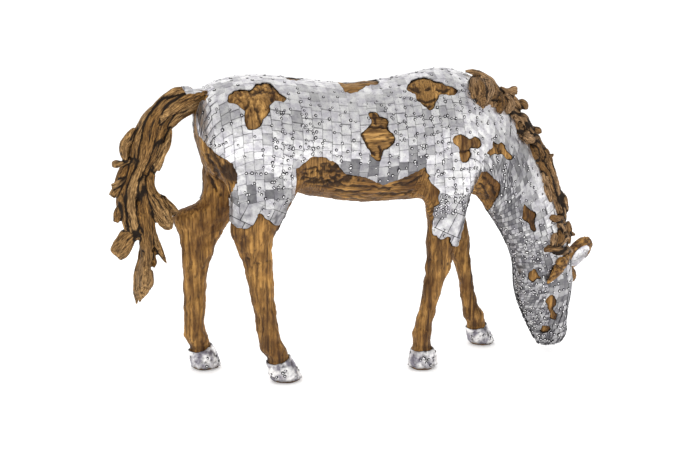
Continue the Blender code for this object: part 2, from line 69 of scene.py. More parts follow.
# A white studio: wide soft lights beside the camera and behind, walls and a ceiling in lighter
# and darker sheets for the metal to reflect, and a white floor that glows a little, as one lit
# from below does.
HORIZON_STRENGTH = 1.26
ZENITH_STRENGTH = 0.92
DARK_SHEETS = 0.62
FLOOR_GLOW = 0.32


def linear(hex_colour):
    """A colour written as sRGB hex, in the linear values that a shader takes."""
    shares = [int(hex_colour[i:i + 2], 16) / 255 for i in (1, 3, 5)]
    return (*(c / 12.92 if c <= 0.04045 else ((c + 0.055) / 1.055) ** 2.4 for c in shares), 1)


def add_node(tree, kind, inputs=(), **settings):
    """A node with its settings, whose inputs are given values or are linked to other sockets."""
    node = tree.nodes.new("ShaderNode" + kind)
    for key, value in settings.items():
        setattr(node, key, value)
    for key, value in dict(inputs).items():
        if isinstance(value, bpy.types.NodeSocket):
            tree.links.new(value, node.inputs[key])
        else:
            node.inputs[key].default_value = value
    return node


world = bpy.data.worlds.new("studio")
world.use_nodes = True
bpy.context.scene.world = world
sky = world.node_tree
sky_place = add_node(sky, "TexCoord")
sky_axes = add_node(sky, "SeparateXYZ", {0: sky_place.outputs["Generated"]})
sky_height = add_node(sky, "MapRange", {
    "Value": sky_axes.outputs["Z"], "From Min": 0.15, "From Max": 0.9,
    "To Min": HORIZON_STRENGTH, "To Max": ZENITH_STRENGTH})
sheets = add_node(sky, "TexNoise", {"Vector": sky_place.outputs["Generated"], "Scale": 3.6,
                                    "Detail": 2})
sheet_share = add_node(sky, "MapRange", {"Value": sheets.outputs["Fac"], "From Min": 0.42,
                                         "From Max": 0.58, "To Min": 1 - DARK_SHEETS, "To Max": 1})
behind = add_node(sky, "MapRange", {"Value": sky_axes.outputs["Y"], "From Min": -0.1,
                                    "From Max": 0.3})
walls = add_node(sky, "Mix", {0: behind.outputs[0], 2: sheet_share.outputs[0], 3: 1.0})
strength = add_node(sky, "Math", {0: sky_height.outputs[0], 1: walls.outputs[0]},
                    operation="MULTIPLY")
sky.links.new(strength.outputs[0], sky.nodes["Background"].inputs["Strength"])
sky.nodes["Background"].inputs["Color"].default_value = linear("#FFFFFF")

for name, place, size, power in (("key_light", (-2.2, -4.2, 3.6), 3.6, 110),
                                 ("side_light", (3.4, -2.6, 2.2), 2.6, 40),
                                 ("back_light", (0.5, 4.0, 3.2), 3.0, 50)):
    light_data = bpy.data.lights.new(name, "AREA")
    light_data.size = size
    light_data.energy = power
    light = bpy.data.objects.new(name, light_data)
    light.location = place
    light.rotation_euler = (Vector(place) - SIGHT_POINT).to_track_quat("Z", "Y").to_euler()
    light.visible_glossy = False
    bpy.context.scene.collection.objects.link(light)

FLOOR_WIDTH = 60
floor_shape = bmesh.new()
bmesh.ops.create_grid(floor_shape, x_segments=1, y_segments=1, size=FLOOR_WIDTH / 2)
floor_mesh = bpy.data.meshes.new("floor")
floor_shape.to_mesh(floor_mesh)
floor = bpy.data.objects.new("floor", floor_mesh)
bpy.context.scene.collection.objects.link(floor)
floor_paint = bpy.data.materials.new("matt_white_paint")
floor_paint.use_nodes = True
floor_shader = floor_paint.node_tree.nodes["Principled BSDF"]
floor_shader.inputs["Base Color"].default_value = linear("#F8F8F8")
floor_shader.inputs["Roughness"].default_value = 0.9
floor_shader.inputs["Specular IOR Level"].default_value = 0
floor_shader.inputs["Emission Color"].default_value = linear("#FFFFFF")
floor_shader.inputs["Emission Strength"].default_value = FLOOR_GLOW
floor.data.materials.append(floor_paint)

# The carved body is one block of oiled hardwood, worked with a gouge and left rough. It shows on
# the legs and belly and through the holes in the metal, where it lies a little below the sheet.
WELD_DISTANCE = 0.00002
WOOD_VOXEL = 0.0114
WOOD_EASE_ROUNDS = 3
HIDDEN_MARGIN = 0.012
# What faces further left than this is carved more plainly.
PLAIN_NORMAL_Y = 0.1
SUNK_UNDER_METAL = 0.0045
RIM_RECESS = 0.0035
RIM_RECESS_WIDTH = 0.012
GROOVE_WIDTH = 0.017
GROOVE_LENGTH = 0.15
GROOVE_DEPTH = 0.0055
LUMP_SIZE = 0.075
LUMP_HEIGHT = 0.007
LEG_FOLD_FADE = 0.55
FETLOCK_Z = 0.165
FETLOCK_TALL = 0.028
FETLOCK_SWELL = 0.006
ANKLE_SHADOW_Z = 0.112
PASTERN_PINCH = 0.004
BELLY_BACK_X = -0.36
BELLY_FRONT_X = 0.16
BELLY_BLEND = 0.12
BELLY_LOW_Z = 0.72
PIT_SIZE = 0.017
PIT_DEPTH = 0.009
PITTED_PLACE = (-0.23, 0.965, 0.17, 0.06)
# Spots of painted shade on the wood's right side, such as under the metal's edge on the buttock: x, z,
# width, height and strength of each.
PAINTED_WOOD_SHADE_SPOTS = [(-0.695, 1.005, 0.050, 0.045, 0.95), (-0.30, 0.925, 0.12, 0.008, 0.7),
                (0.10, 0.915, 0.03, 0.03, 0.6), (-0.45, 0.93, 0.02, 0.05, 0.6)]


def bake_modifiers(piece):
    """Make the piece's modifiers its real mesh."""
    bpy.context.view_layer.update()
    evaluated = piece.evaluated_get(bpy.context.evaluated_depsgraph_get())
    mesh = bpy.data.meshes.new_from_object(evaluated)
    piece.modifiers.clear()
    piece.data = mesh
    return piece


def copy_of(node, name):
    """A new object with a copy of a CAD node's mesh, its triangles welded together."""
    mesh = bpy.data.meshes.new(name)
    shape = bmesh.new()
    shape.from_mesh(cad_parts[node].data)
    bmesh.ops.remove_doubles(shape, verts=shape.verts, dist=WELD_DISTANCE)
    shape.to_mesh(mesh)
    shape.free()
    piece = bpy.data.objects.new(name, mesh)
    bpy.context.scene.collection.objects.link(piece)
    return piece


def add_modifier(piece, kind, **settings):
    modifier = piece.modifiers.new(kind.lower(), kind)
    for key, value in settings.items():
        setattr(modifier, key, value)
    return modifier


def tree_of(piece):
    shape = bmesh.new()
    shape.from_mesh(piece.data)
    tree = BVHTree.FromBMesh(shape)
    shape.free()
    return tree


def step_between(value, low, high):
    """0 below low, 1 above high and a smooth rise between them."""
    share = min(max((value - low) / (high - low), 0), 1)
    return share * share * (3 - 2 * share)


wood = copy_of("carved_wood_body", "carved_wood")
add_modifier(wood, "SUBSURF", levels=2, render_levels=2)
bake_modifiers(wood)
form = tree_of(wood)

# Where the CAD skin has an edge, its wall faces stand across the body's surface.
skin_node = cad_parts["metal_tile_skin"]
skin = tree_of(skin_node)
walls_shape = bmesh.new()
walls_shape.from_mesh(skin_node.data)
sheet_faces = []
for face in walls_shape.faces:
    outward = form.find_nearest(face.calc_center_median())[1]
    if abs(face.normal.dot(outward)) > 0.55:
        sheet_faces.append(face)
bmesh.ops.delete(walls_shape, geom=sheet_faces, context="FACES_ONLY")
skin_walls = BVHTree.FromBMesh(walls_shape)
walls_shape.free()

# Bare areas on the right side, as closed outlines in side view, x and z in centimetres. Each
# decides where wood shows inside its own box: low x, low z, high x and high z.
BARE_AREAS = {
    "rump": (None, [
        (-68.5, 131.5), (-67, 133), (-64.5, 134.5), (-60.5, 134.5), (-58, 134.5), (-55, 136.5),
        (-51.5, 137), (-48.5, 137), (-47, 135), (-45, 133), (-42.5, 130.5), (-44, 129),
        (-46.5, 129.5), (-49, 129), (-50.5, 127.5), (-51, 125), (-54, 122.5), (-55.5, 119.5),
        (-59.5, 118), (-61.5, 118.5), (-62.5, 122), (-62, 125.5), (-63.5, 127.5), (-65.5, 129),
        (-68.5, 129.5)]),
    "flank": (None, [
        (-5.5, 123), (-3.5, 123.5), (-1.5, 123), (-0.5, 121.5), (1.5, 121), (3, 119.5), (2.5, 116),
        (4.5, 114), (5.5, 112), (5, 110), (2, 107.5), (0, 106.5), (-1, 104.5), (-1.5, 102),
        (-4, 102.5), (-6, 104.5), (-7, 107), (-9, 110), (-10.5, 113), (-10.5, 114.5), (-7, 117),
        (-5, 119), (-5.5, 121)]),
    "croup": (None, [
        (-43.5, 137.8), (-41.2, 137.5), (-38.3, 137.1), (-34.2, 136.6), (-32.8, 137), (-34, 137.9),
        (-37, 138.2), (-41, 138.7), (-43.5, 138.6)]),
    "saddle": (None, [
        (-14.5, 132.5), (-14.5, 140), (4, 140), (3.5, 134.5), (0, 134), (-2.5, 133.5), (-5, 133),
        (-8, 131.5), (-11, 131), (-13.5, 131.5)]),
    "withers": (None, [
        (14.5, 132.5), (16, 134.5), (18, 135.5), (21.5, 136.5), (24.5, 137), (27, 136),
        (31.5, 134.5), (33, 133.5), (36, 133), (38, 131.5), (37.5, 130), (36, 129), (34, 129),
        (31.5, 129.5), (29, 129.5), (28, 127.5), (26.5, 126), (25.5, 124), (23, 123),
        (21.5, 124.5), (18, 127), (17.5, 130), (16, 130.5), (14.5, 131.5)]),
    "shoulder": (None, [
        (33, 110), (35, 111.5), (38, 112), (40.5, 110.5), (42.5, 109.5), (45, 110.5), (48, 109),
        (49, 106.5), (47.5, 104.5), (44.5, 105), (42.5, 105), (43, 102.5), (41.5, 99.5), (39, 99),
        (37, 100.5), (36.5, 104), (36.5, 106), (34, 108)]),
    "neck_base": (None, [
        (54.9, 104.6), (54.7, 106.1), (55.4, 107.8), (56.6, 106.7), (58.2, 105.8), (59.7, 106.4),
        (61.5, 105.2), (62.5, 103.4), (64.3, 101.1), (66.3, 99.8), (65.9, 98), (63.6, 97.7),
        (61.8, 99.5), (60, 101), (57.9, 100.8), (56.2, 101.2), (53.9, 100.2), (52.9, 99),
        (53.6, 101.1), (52.2, 101.8), (52.6, 103.4)]),
    "mid_neck": (None, [
        (72.5, 76.5), (74, 75.5), (76.5, 73), (78, 72.5), (79.5, 71), (79, 69), (78.5, 67),
        (79.5, 64.5), (79.5, 63), (78, 62.5), (76.5, 64), (75.5, 66.5), (73.5, 68), (72.5, 69.5),
        (72.5, 72)]),
    "jowl": (None, [
        (76.5, 41), (78, 42.5), (80, 44), (81, 42.5), (81.5, 41), (83, 39.5), (82.5, 38.5),
        (81, 39), (79.5, 37), (77.5, 38.5), (77, 39.5)]),
    "nose": (None, [
        (85.5, 28), (87, 30), (88, 31), (89.5, 30), (91, 28), (91, 25.5), (90, 24), (90.5, 22),
        (92.5, 20), (92, 17.5), (90.5, 17.5), (88.5, 18.5), (88.5, 21), (87, 24.5), (86, 26.5)]),
    "nostril": (None, [
        (85, 11.4), (85.8, 13.1), (86.3, 14.7), (86.6, 15.6), (87.3, 14.7), (89, 14.4), (90.3, 12.6),
        (89.2, 11.2), (87.4, 10.2), (85.7, 10.4)]),
    "thigh": ((-70, 66, -40, 87), [
        (-72, 78), (-67.5, 76), (-66.5, 75), (-64.5, 74.5), (-61, 74.5), (-58.5, 77), (-57.5, 79),
        (-57.5, 80.5), (-56, 81), (-54.5, 79.5), (-52.5, 78), (-50, 75.5), (-47, 74.5),
        (-45, 77), (-43.5, 80.5), (-42.5, 84), (-36, 86), (-36, 58), (-72, 58)]),
    "foreleg": ((20.5, 54, 46, 93), [
        (14, 98), (20.5, 97.5), (22, 94.5), (24, 90.5), (26.5, 88), (28, 86), (27.5, 83),
        (28, 80), (26, 78.5), (26, 72.5), (26, 65.5), (27.5, 65), (29, 63.5), (30.5, 63.5),
        (32, 65), (34, 63.5), (33.5, 62), (35, 60), (38, 59), (39.5, 60.5), (42, 62), (50, 62),
        (50, 46), (8, 46), (8, 97)]),
}
# The far side's hock is bare behind this outline.
FAR_HOCK = [(-98, 60), (-98, 92), (-84, 92), (-79, 84), (-74, 79), (-71, 72), (-72, 60)]
FAR_HOCK_Y = 0.02
# Between the haunches the wood is bare, from the dock down. This is its outline seen from behind,
# y and z in centimetres: the left haunch's edge going up and then the right one's going down.
REAR_BARE = [
    (20, 85), (20, 106), (16, 109.5), (12, 112), (9, 114), (7, 117), (6.5, 121), (7, 125),
    (10, 129), (12, 137), (-8, 137), (-8, 130), (-5, 127), (-4.5, 124), (-5, 119.5),
    (-5.5, 116.5), (-8, 114.5), (-12, 112.5), (-15, 110), (-17, 107), (-18.5, 105.5),
    (-19.5, 103.5), (-20.5, 100), (-18, 93), (-18, 85)]
REAR_X = -0.62
REAR_NORMAL_X = -0.3
REAR_LEFT_Y = 0.12
REAR_LOW_Z = 1.035
REAR_HIGH_Z = 1.30
BARE_BOX_REACH = 0.025
RIGHT_SIDE_NORMAL_Y = 0.2
PROBE_OUT = 0.012
PROBE_DEPTH = 0.020
RIM_WAVER = 0.0042
RIM_WAVER_SIZE = 0.022


def smooth_rows(rows, steps, closed=False):
    """Rows of numbers along a smooth curve that passes through the given rows."""
    last = len(rows) - 1
    result = []
    for i in range(last + 1 if closed else last):
        if closed:
            around = [rows[k % (last + 1)] for k in (i - 1, i, i + 1, i + 2)]
        else:
            around = [rows[min(max(k, 0), last)] for k in (i - 1, i, i + 1, i + 2)]
        for step in range(steps):
            t = step / steps
            result.append([
                b + t / 2 * (c - a + t * (2 * a - 5 * b + 4 * c - d + t * (3 * b - a - 3 * c + d)))
                for a, b, c, d in zip(*around)])
    if not closed:
        result.append(list(rows[last]))
    return result


def distance_to_piece(x, z, a, b):
    """How far a place in side view is from a straight piece between two others."""
    along_x, along_z = b[0] - a[0], b[1] - a[1]
    share = ((x - a[0]) * along_x + (z - a[1]) * along_z) / max(along_x ** 2 + along_z ** 2, 1e-9)
    share = min(max(share, 0), 1)
    return math.hypot(x - a[0] - along_x * share, z - a[1] - along_z * share)


bare_areas = []
for box, outline in BARE_AREAS.values():
    curve = [(x / 100, z / 100) for x, z in smooth_rows(outline, 2, closed=True)]
    if box:
        box = [side / 100 for side in box]
    else:
        box = [min(x for x, z in curve) - BARE_BOX_REACH, min(z for x, z in curve) - BARE_BOX_REACH,
               max(x for x, z in curve) + BARE_BOX_REACH, max(z for x, z in curve) + BARE_BOX_REACH]
    bare_areas.append((box, curve))


far_hock = [(x / 100, z / 100) for x, z in FAR_HOCK]
rear_bare = [(y / 100, z / 100) for y, z in REAR_BARE]


def outline_margin(point, curve):
    """How far a point lies outside a closed outline in side view, negative inside it."""
    nearest = 1.0
    inside = False
    for a, b in zip(curve, curve[1:] + curve[:1]):
        nearest = min(nearest, distance_to_piece(point.x, point.z, a, b))
        if (a[1] > point.z) != (b[1] > point.z):
            crossing = a[0] + (point.z - a[1]) / (b[1] - a[1]) * (b[0] - a[0])
            if point.x < crossing:
                inside = not inside
    return -nearest if inside else nearest


def metal_margin(point, normal):
    """How far a point of the form lies inside the metal's edge, negative out on bare wood."""
    waver = noise.noise(point / RIM_WAVER_SIZE) + 0.6 * noise.noise(point / RIM_WAVER_SIZE * 2.3)
    if normal.y < RIGHT_SIDE_NORMAL_Y and point.y < 0.05:
        for box, curve in bare_areas:
            if box[0] < point.x < box[2] and box[1] < point.z < box[3]:
                return outline_margin(point, curve) + RIM_WAVER * waver
    on_rear = normal.x < REAR_NORMAL_X and point.x < REAR_X and point.y < REAR_LEFT_Y
    if on_rear and REAR_LOW_Z < point.z < REAR_HIGH_Z:
        from_behind = Vector((point.y, 0, point.z))
        return outline_margin(from_behind, rear_bare) + RIM_WAVER * waver
    start = point + normal * PROBE_OUT
    covered = skin.ray_cast(start, -normal, PROBE_DEPTH)[0] is not None
    distance = skin_walls.find_nearest(point)[3]
    inside = distance if covered else -distance
    if point.y > FAR_HOCK_Y and point.x < far_hock[5][0] and point.z < far_hock[1][1]:
        inside = min(inside, outline_margin(point, far_hock))
    return inside + RIM_WAVER * waver


# Carved folds, x and z in centimetres in side view: those in the rump's, flank's, withers' and
# shoulder's bare areas, along the belly, down the buttock and across the knee.
FOLDS = [
    [(-58.5, 134), (-59.5, 130), (-61.5, 127)], [(-57, 127), (-56, 124), (-55.5, 120.5)],
    [(-48.5, 136.5), (-47.5, 132.5), (-49.5, 129.5)], [(-58.5, 133.5), (-53.5, 134), (-49, 133)],
    [(-7, 117.2), (-2.5, 117), (2.7, 116.4)], [(-10, 113.5), (-8, 109.5), (-4.5, 105)],
    [(-3.3, 122.5), (-3.2, 119)], [(-2, 108), (-1.5, 104.5)],
    [(17.8, 128), (21, 127.3), (25, 127.2), (28.8, 128.6)], [(19, 126), (23, 124.6), (26, 125)],
    [(29, 132.6), (31, 131.2), (34, 131.6)], [(16.5, 133), (21, 131.6), (25.5, 132.8)],
    [(36.6, 104.3), (39.5, 103.6), (42.8, 104.4)], [(44.2, 110.5), (43.6, 107), (44.5, 104.8)],
    [(57, 107), (57.5, 104), (60, 101.5)], [(75, 74.5), (75.5, 70), (78.5, 66)],
    [(-35.5, 93.6), (-28, 93), (-20, 91.5), (-8, 90.2), (4, 88)],
    [(-20, 88.5), (-8, 86.5), (6, 84.5), (16, 86)], [(6, 90), (13, 90.5), (19, 93)],
    [(-78.5, 118), (-77, 112), (-73, 106), (-66.5, 99.5)],
    [(-78, 113), (-75.5, 106.5), (-71, 99.5), (-68, 94.5)],
    [(-77.5, 106), (-74, 99), (-70.5, 92)], [(-76, 98), (-72, 90), (-69, 84)],
    [(23.5, 53.6), (28, 52.4), (32, 51.6), (36, 50)],
    [(-62, 60), (-57, 57.5), (-51, 58.5)], [(22.5, 74), (23.5, 62), (24, 52)],
    [(51, 87), (54, 83), (57, 77)], [(52, 90), (57, 85), (59, 80)]]
FOLD_WIDTH = 0.011
FOLD_DEPTH = 0.0085
FOLD_WAVER = 0.009
folds = []
for rows in FOLDS:
    curve = [(x / 100, z / 100) for x, z in smooth_rows(rows, 3)]
    folds.append((min(x for x, z in curve) - 0.02, max(x for x, z in curve) + 0.02, curve))


def fold_at(point):
    """1 in the bottom of a carved fold, 0 away from it."""
    bend = noise.noise_vector(point / 0.03) * FOLD_WAVER
    nearest = 1.0
    for low, high, curve in folds:
        if low < point.x < high:
            for a, b in zip(curve, curve[1:]):
                nearest = min(nearest, distance_to_piece(point.x + bend.x, point.z + bend.z, a, b))
    broken = step_between(noise.noise(point / 0.035 + Vector((3, 0, 0))), -0.5, 0.0)
    return (1 - step_between(nearest, 0, FOLD_WIDTH)) * broken


add_modifier(wood, "REMESH", mode="VOXEL", voxel_size=WOOD_VOXEL)
add_modifier(wood, "SMOOTH", factor=0.5, iterations=WOOD_EASE_ROUNDS)
bake_modifiers(wood)
shape = bmesh.new()
shape.from_mesh(wood.data)
shape.normal_update()
margin = {v: metal_margin(v.co, v.normal) for v in shape.verts}
bare = []
for face in shape.faces:
    margins = [margin[vert] for vert in face.verts]
    at_rim = max(margins) > -HIDDEN_MARGIN
    if min(margins) < HIDDEN_MARGIN and (at_rim or face.normal.y < PLAIN_NORMAL_Y):
        bare.append(face)
bare_edges = list({edge for face in bare for edge in face.edges})
bmesh.ops.subdivide_edges(shape, edges=bare_edges, cuts=1, use_grid_fill=True, smooth=0.0)
shape.normal_update()
shape.verts.index_update()
hollow_layer = shape.verts.layers.float.new("hollow")
margin_layer = shape.verts.layers.float.new("margin")
belly_layer = shape.verts.layers.float.new("belly")


def ridges(place, sharpness):
    """Noise folded into ridges: 0 on the ridges and up to 1 in the grooves between them."""
    return (1 - min(abs(noise.noise(place)) * 2.2, 1)) ** sharpness


surface_corners = []
surface_faces = [[vert.index for vert in face.verts] for face in shape.faces]
moves = []
for vert in shape.verts:
    point, normal = vert.co, vert.normal
    inside = metal_margin(point, normal)
    surface_corners.append((point.copy(), normal.copy(), 0.0, inside))
    along_belly = (step_between(point.x, BELLY_BACK_X, BELLY_BACK_X + BELLY_BLEND)
                   * (1 - step_between(point.x, BELLY_FRONT_X, BELLY_FRONT_X + BELLY_BLEND))
                   * step_between(point.z, BELLY_LOW_Z, BELLY_LOW_Z + BELLY_BLEND))
    waver = noise.noise_vector(point / 0.12) * 0.02
    bent = point + waver
    upright = Vector((bent.x / GROOVE_WIDTH, bent.y / GROOVE_WIDTH, bent.z / GROOVE_LENGTH))
    level = Vector((bent.x / GROOVE_LENGTH, bent.y / GROOVE_WIDTH, bent.z / GROOVE_WIDTH))
    groove = (ridges(upright, 3) * (1 - along_belly) + ridges(level, 3) * along_belly)
    fine = (ridges(upright * 2.3, 2) * (1 - along_belly) + ridges(level * 2.3, 2) * along_belly)
    lump = noise.noise(point / LUMP_SIZE) + 0.5 * noise.noise(point / LUMP_SIZE * 2.6)
    fetlock = math.exp(-((point.z - FETLOCK_Z) / FETLOCK_TALL) ** 2) * FETLOCK_SWELL
    fetlock -= math.exp(-((point.z - ANKLE_SHADOW_Z) / 0.02) ** 2) * PASTERN_PINCH
    fold = fold_at(point) if inside < 0.004 and normal.y < RIGHT_SIDE_NORMAL_Y else 0
    fold *= 1 - LEG_FOLD_FADE * (1 - step_between(point.z, 0.72, 0.82))
    pit_x, pit_z, pit_wide, pit_high = PITTED_PLACE
    pitted = 1 - step_between(math.hypot((point.x - pit_x) / pit_wide, (point.z - pit_z) / pit_high),
                              0.7, 1.1)
    pits = pitted * step_between(noise.noise(point / PIT_SIZE), -0.05, 0.3)
    # Painted shade: the hollow share darkens grooves, folds and pits, more so on the belly. It also
    # holds a painted shadow at the wraps' top edge, the painted shade spots, and darker wood at the
    # very bottom.
    hollow = min(0.6 * groove + 0.3 * fine + 0.95 * fold + 1.1 * pits, 1)
    shadow_above_wrap = 1 - step_between(abs(point.z - ANKLE_SHADOW_Z), 0.008, 0.024)
    sole = 1 - step_between(point.z, 0.009, 0.018)
    hollow = min(hollow * (1 + 0.5 * along_belly), 1)
    for x, z, wide, high, strength in PAINTED_WOOD_SHADE_SPOTS:
        away = math.hypot((point.x - x) / wide, (point.z - z) / high) + 0.5 * waver.x / 0.01
        away += 9 * step_between(point.y, -0.02, 0.02)
        hollow = max(hollow, strength * (1 - step_between(away, 0.4, 1.2)))
    vert[hollow_layer] = max(hollow, 0.6 * shadow_above_wrap, 0.85 * sole)
    vert[margin_layer] = inside
    vert[belly_layer] = along_belly
    bareness = 1 - step_between(inside, -0.004, 0.006)
    at_rim = step_between(inside, -RIM_RECESS_WIDTH, 0)
    foot = step_between(point.z, 0.002, 0.03)
    depth = bareness * foot * ((0.7 * groove + 0.3 * fine) * GROOVE_DEPTH - lump * LUMP_HEIGHT
                               + fold * FOLD_DEPTH + pits * PIT_DEPTH - fetlock) + at_rim * RIM_RECESS
    depth += step_between(inside, 0, 0.01) * (SUNK_UNDER_METAL - RIM_RECESS)
    moves.append((vert, point - normal * depth))
for vert, place in moves:
    vert.co = place
shape.to_mesh(wood.data)
shape.free()
wood.data.shade_smooth()

# Oiled hardwood: honey brown with darker streaks along the grain, paler higher up as painted light,
# nearly black with painted shade in its grooves, folds and pits, and with painted shadow where the
# metal's edge shades it. Gouged and rubbed with oil, it has a low sheen.
GRAIN_WIDTH_MM = 9
oiled_wood = bpy.data.materials.new("oiled_hardwood")
oiled_wood.use_nodes = True
tree = oiled_wood.node_tree
shader = tree.nodes["Principled BSDF"]
place = add_node(tree, "TexCoord").outputs["Object"]
belly = add_node(tree, "Attribute", attribute_name="belly").outputs["Fac"]
hollow = add_node(tree, "Attribute", attribute_name="hollow").outputs["Fac"]
rim = add_node(tree, "Attribute", attribute_name="margin").outputs["Fac"]
across = 1000 / GRAIN_WIDTH_MM / 4
upright = add_node(tree, "Mapping", {"Vector": place, "Scale": (across, across, across / 12)})
level = add_node(tree, "Mapping", {"Vector": place, "Scale": (across / 12, across, across)})
grain_place = add_node(tree, "Mix", {0: belly, 4: upright.outputs[0], 5: level.outputs[0]},
                       data_type="VECTOR")
streaks = add_node(tree, "TexNoise", {"Vector": grain_place.outputs[1], "Scale": 1.0,
                                      "Detail": 8, "Roughness": 0.75, "Distortion": 0.6})
blotches = add_node(tree, "TexNoise", {"Vector": place, "Scale": 11, "Detail": 5})
light_share = add_node(tree, "MapRange", {"Value": streaks.outputs["Fac"], "From Min": 0.40,
                                          "From Max": 0.60})
warmth = add_node(tree, "MapRange", {"Value": blotches.outputs["Fac"], "From Min": 0.36,
                                     "From Max": 0.64})
honey = add_node(tree, "Mix", {0: warmth.outputs[0], 6: linear("#825A29"), 7: linear("#CC9A53")},
                 data_type="RGBA")
height = add_node(tree, "SeparateXYZ", {0: place})
# Painted light: the wood turns paler upwards, from 0.92 m to 1.1 m.
painted_light_height = add_node(tree, "MapRange", {"Value": height.outputs["Z"], "From Min": 0.92,
                                      "From Max": 1.1, "To Max": 0.4})
paler = add_node(tree, "Mix", {0: painted_light_height.outputs[0], 6: honey.outputs[2], 7: linear("#D0A566")},
                 data_type="RGBA")
grained = add_node(tree, "Mix", {0: light_share.outputs[0], 6: linear("#543616"),
                                 7: paler.outputs[2]}, data_type="RGBA")
# Painted shade: the wood turns nearly black where the hollow share is high.
groove_shade_share = add_node(tree, "MapRange", {"Value": hollow, "From Min": 0.42, "From Max": 0.92,
                                           "To Max": 0.85})
grooved = add_node(tree, "Mix", {0: groove_shade_share.outputs[0], 6: grained.outputs[2],
                                 7: linear("#2C1A0C")}, data_type="RGBA")
# Painted shadow: the wood is nearly black at the metal's edge and fades out over a few millimetres of
# bare wood.
rim_shadow_share = add_node(tree, "MapRange", {"Value": rim, "From Min": -0.005, "From Max": -0.0015})
flecks = add_node(tree, "TexNoise", {"Vector": grain_place.outputs[1], "Scale": 3.2, "Detail": 3})
fleck_share = add_node(tree, "MapRange", {"Value": flecks.outputs["Fac"], "From Min": 0.40,
                                          "From Max": 0.60})
flecked = add_node(tree, "Mix", {0: fleck_share.outputs[0], 6: linear("#B7B0A8"),
                                 7: linear("#FFFFFF")}, data_type="RGBA")
rubbed = add_node(tree, "Mix", {0: 1.0, 6: grooved.outputs[2], 7: flecked.outputs[2]},
                  data_type="RGBA", blend_type="MULTIPLY")
shaded = add_node(tree, "Mix", {0: rim_shadow_share.outputs[0], 6: rubbed.outputs[2],
                                7: linear("#150D07")}, data_type="RGBA")
bumps = add_node(tree, "Bump", {"Height": streaks.outputs["Fac"], "Strength": 0.5,
                                "Distance": 0.003})
tree.links.new(shaded.outputs[2], shader.inputs["Base Color"])
tree.links.new(bumps.outputs[0], shader.inputs["Normal"])
shader.inputs["Roughness"].default_value = 0.55
shader.inputs["Specular IOR Level"].default_value = 0.25
wood.data.materials.append(oiled_wood)
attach(wood, "root")
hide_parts("carved_wood_body")

# The skin is bright sheet metal cut by hand into squares of about 40 mm, smaller on the neck and
# head, and nailed on in columns that run down from the spine. Each laps over the one below it.
# The spine's columns lie between slices: top x, z and bottom x, z of each, and the square's size.
SLICES = [
    (-0.83, 1.30, -0.81, 0.95, 0.040),
    (-0.70, 1.38, -0.66, 0.90, 0.040),
    (-0.54, 1.40, -0.52, 0.80, 0.041),
    (-0.32, 1.38, -0.34, 0.84, 0.041),
    (-0.07, 1.35, -0.10, 0.79, 0.041),
    (0.14, 1.36, 0.15, 0.79, 0.040),
    (0.29, 1.40, 0.34, 0.80, 0.038),
    (0.40, 1.41, 0.47, 0.80, 0.036),
    (0.50, 1.375, 0.515, 0.79, 0.035),
    (0.61, 1.29, 0.55, 0.78, 0.033),
    (0.70, 1.18, 0.57, 0.77, 0.031),
    (0.78, 1.06, 0.585, 0.755, 0.030),
    (0.876, 0.852, 0.615, 0.69, 0.029),
    (0.93, 0.72, 0.655, 0.61, 0.028),
    (0.96, 0.614, 0.69, 0.535, 0.028),
    (1.00, 0.50, 0.718, 0.445, 0.027),
    (1.033, 0.335, 0.737, 0.295, 0.027),
    (1.005, 0.235, 0.773, 0.205, 0.027),
    (1.003, 0.13, 0.818, 0.108, 0.027),
    (1.012, 0.075, 0.842, 0.056, 0.027),
    (0.973, 0.03, 0.873, 0.012, 0.027),
]
BELT_SHARE = 0.42
BELT_SAMPLES = 40
WALK_STEP = 0.008
WALK_LIMIT = 260
WALK_LOW_Z = 0.45
SIDE_REACH = 1.0
TILE_GRID = (0, 0.10, 0.5, 0.90, 1)
RIM_TILE_GRID = (0, 0.10, 0.22, 0.36, 0.5, 0.64, 0.78, 0.90, 1)
TILE_THICKNESS = 0.0012
TILE_LAP = 0.0015
TILE_REST = 0.0010
TILE_LIFT = 0.0026
TILE_DENT = 0.0010
SHEET_DENT = 0.0030
RIM_REACH = 0.030
SMALL_TILE_GRID = (0, 0.17, 0.83, 1)
SMALL_SHARE = 0.62
SHEET_TALL = 2.3
HIND_SHEETS_Z = 0.87
FORE_SHEETS_Z = 0.78
NECK_START = 9.2
POLL_PLACE = 15
CREST_SHEETS = 0.10
SMALL_START = 0.50
rolls = random.Random(7)


def slice_at(place):
    """Top, bottom and square size of the slice at a place between the numbered ones."""
    first = min(int(place), len(SLICES) - 2)
    share = place - first
    row = [a + (b - a) * share for a, b in zip(SLICES[first], SLICES[first + 1])]
    return Vector((row[0], 0, row[1])), Vector((row[2], 0, row[3])), row[4]


def belt_points(place):
    """Where the line across the middle of a slice meets the right and left sides of the form."""
    top, low, _ = slice_at(place)
    middle = top.lerp(low, BELT_SHARE)
    found = []
    for side in (-1, 1):
        start = middle + Vector((0, side * SIDE_REACH, 0))
        found.append(form.ray_cast(start, Vector((0, -side, 0)))[0])
    return found


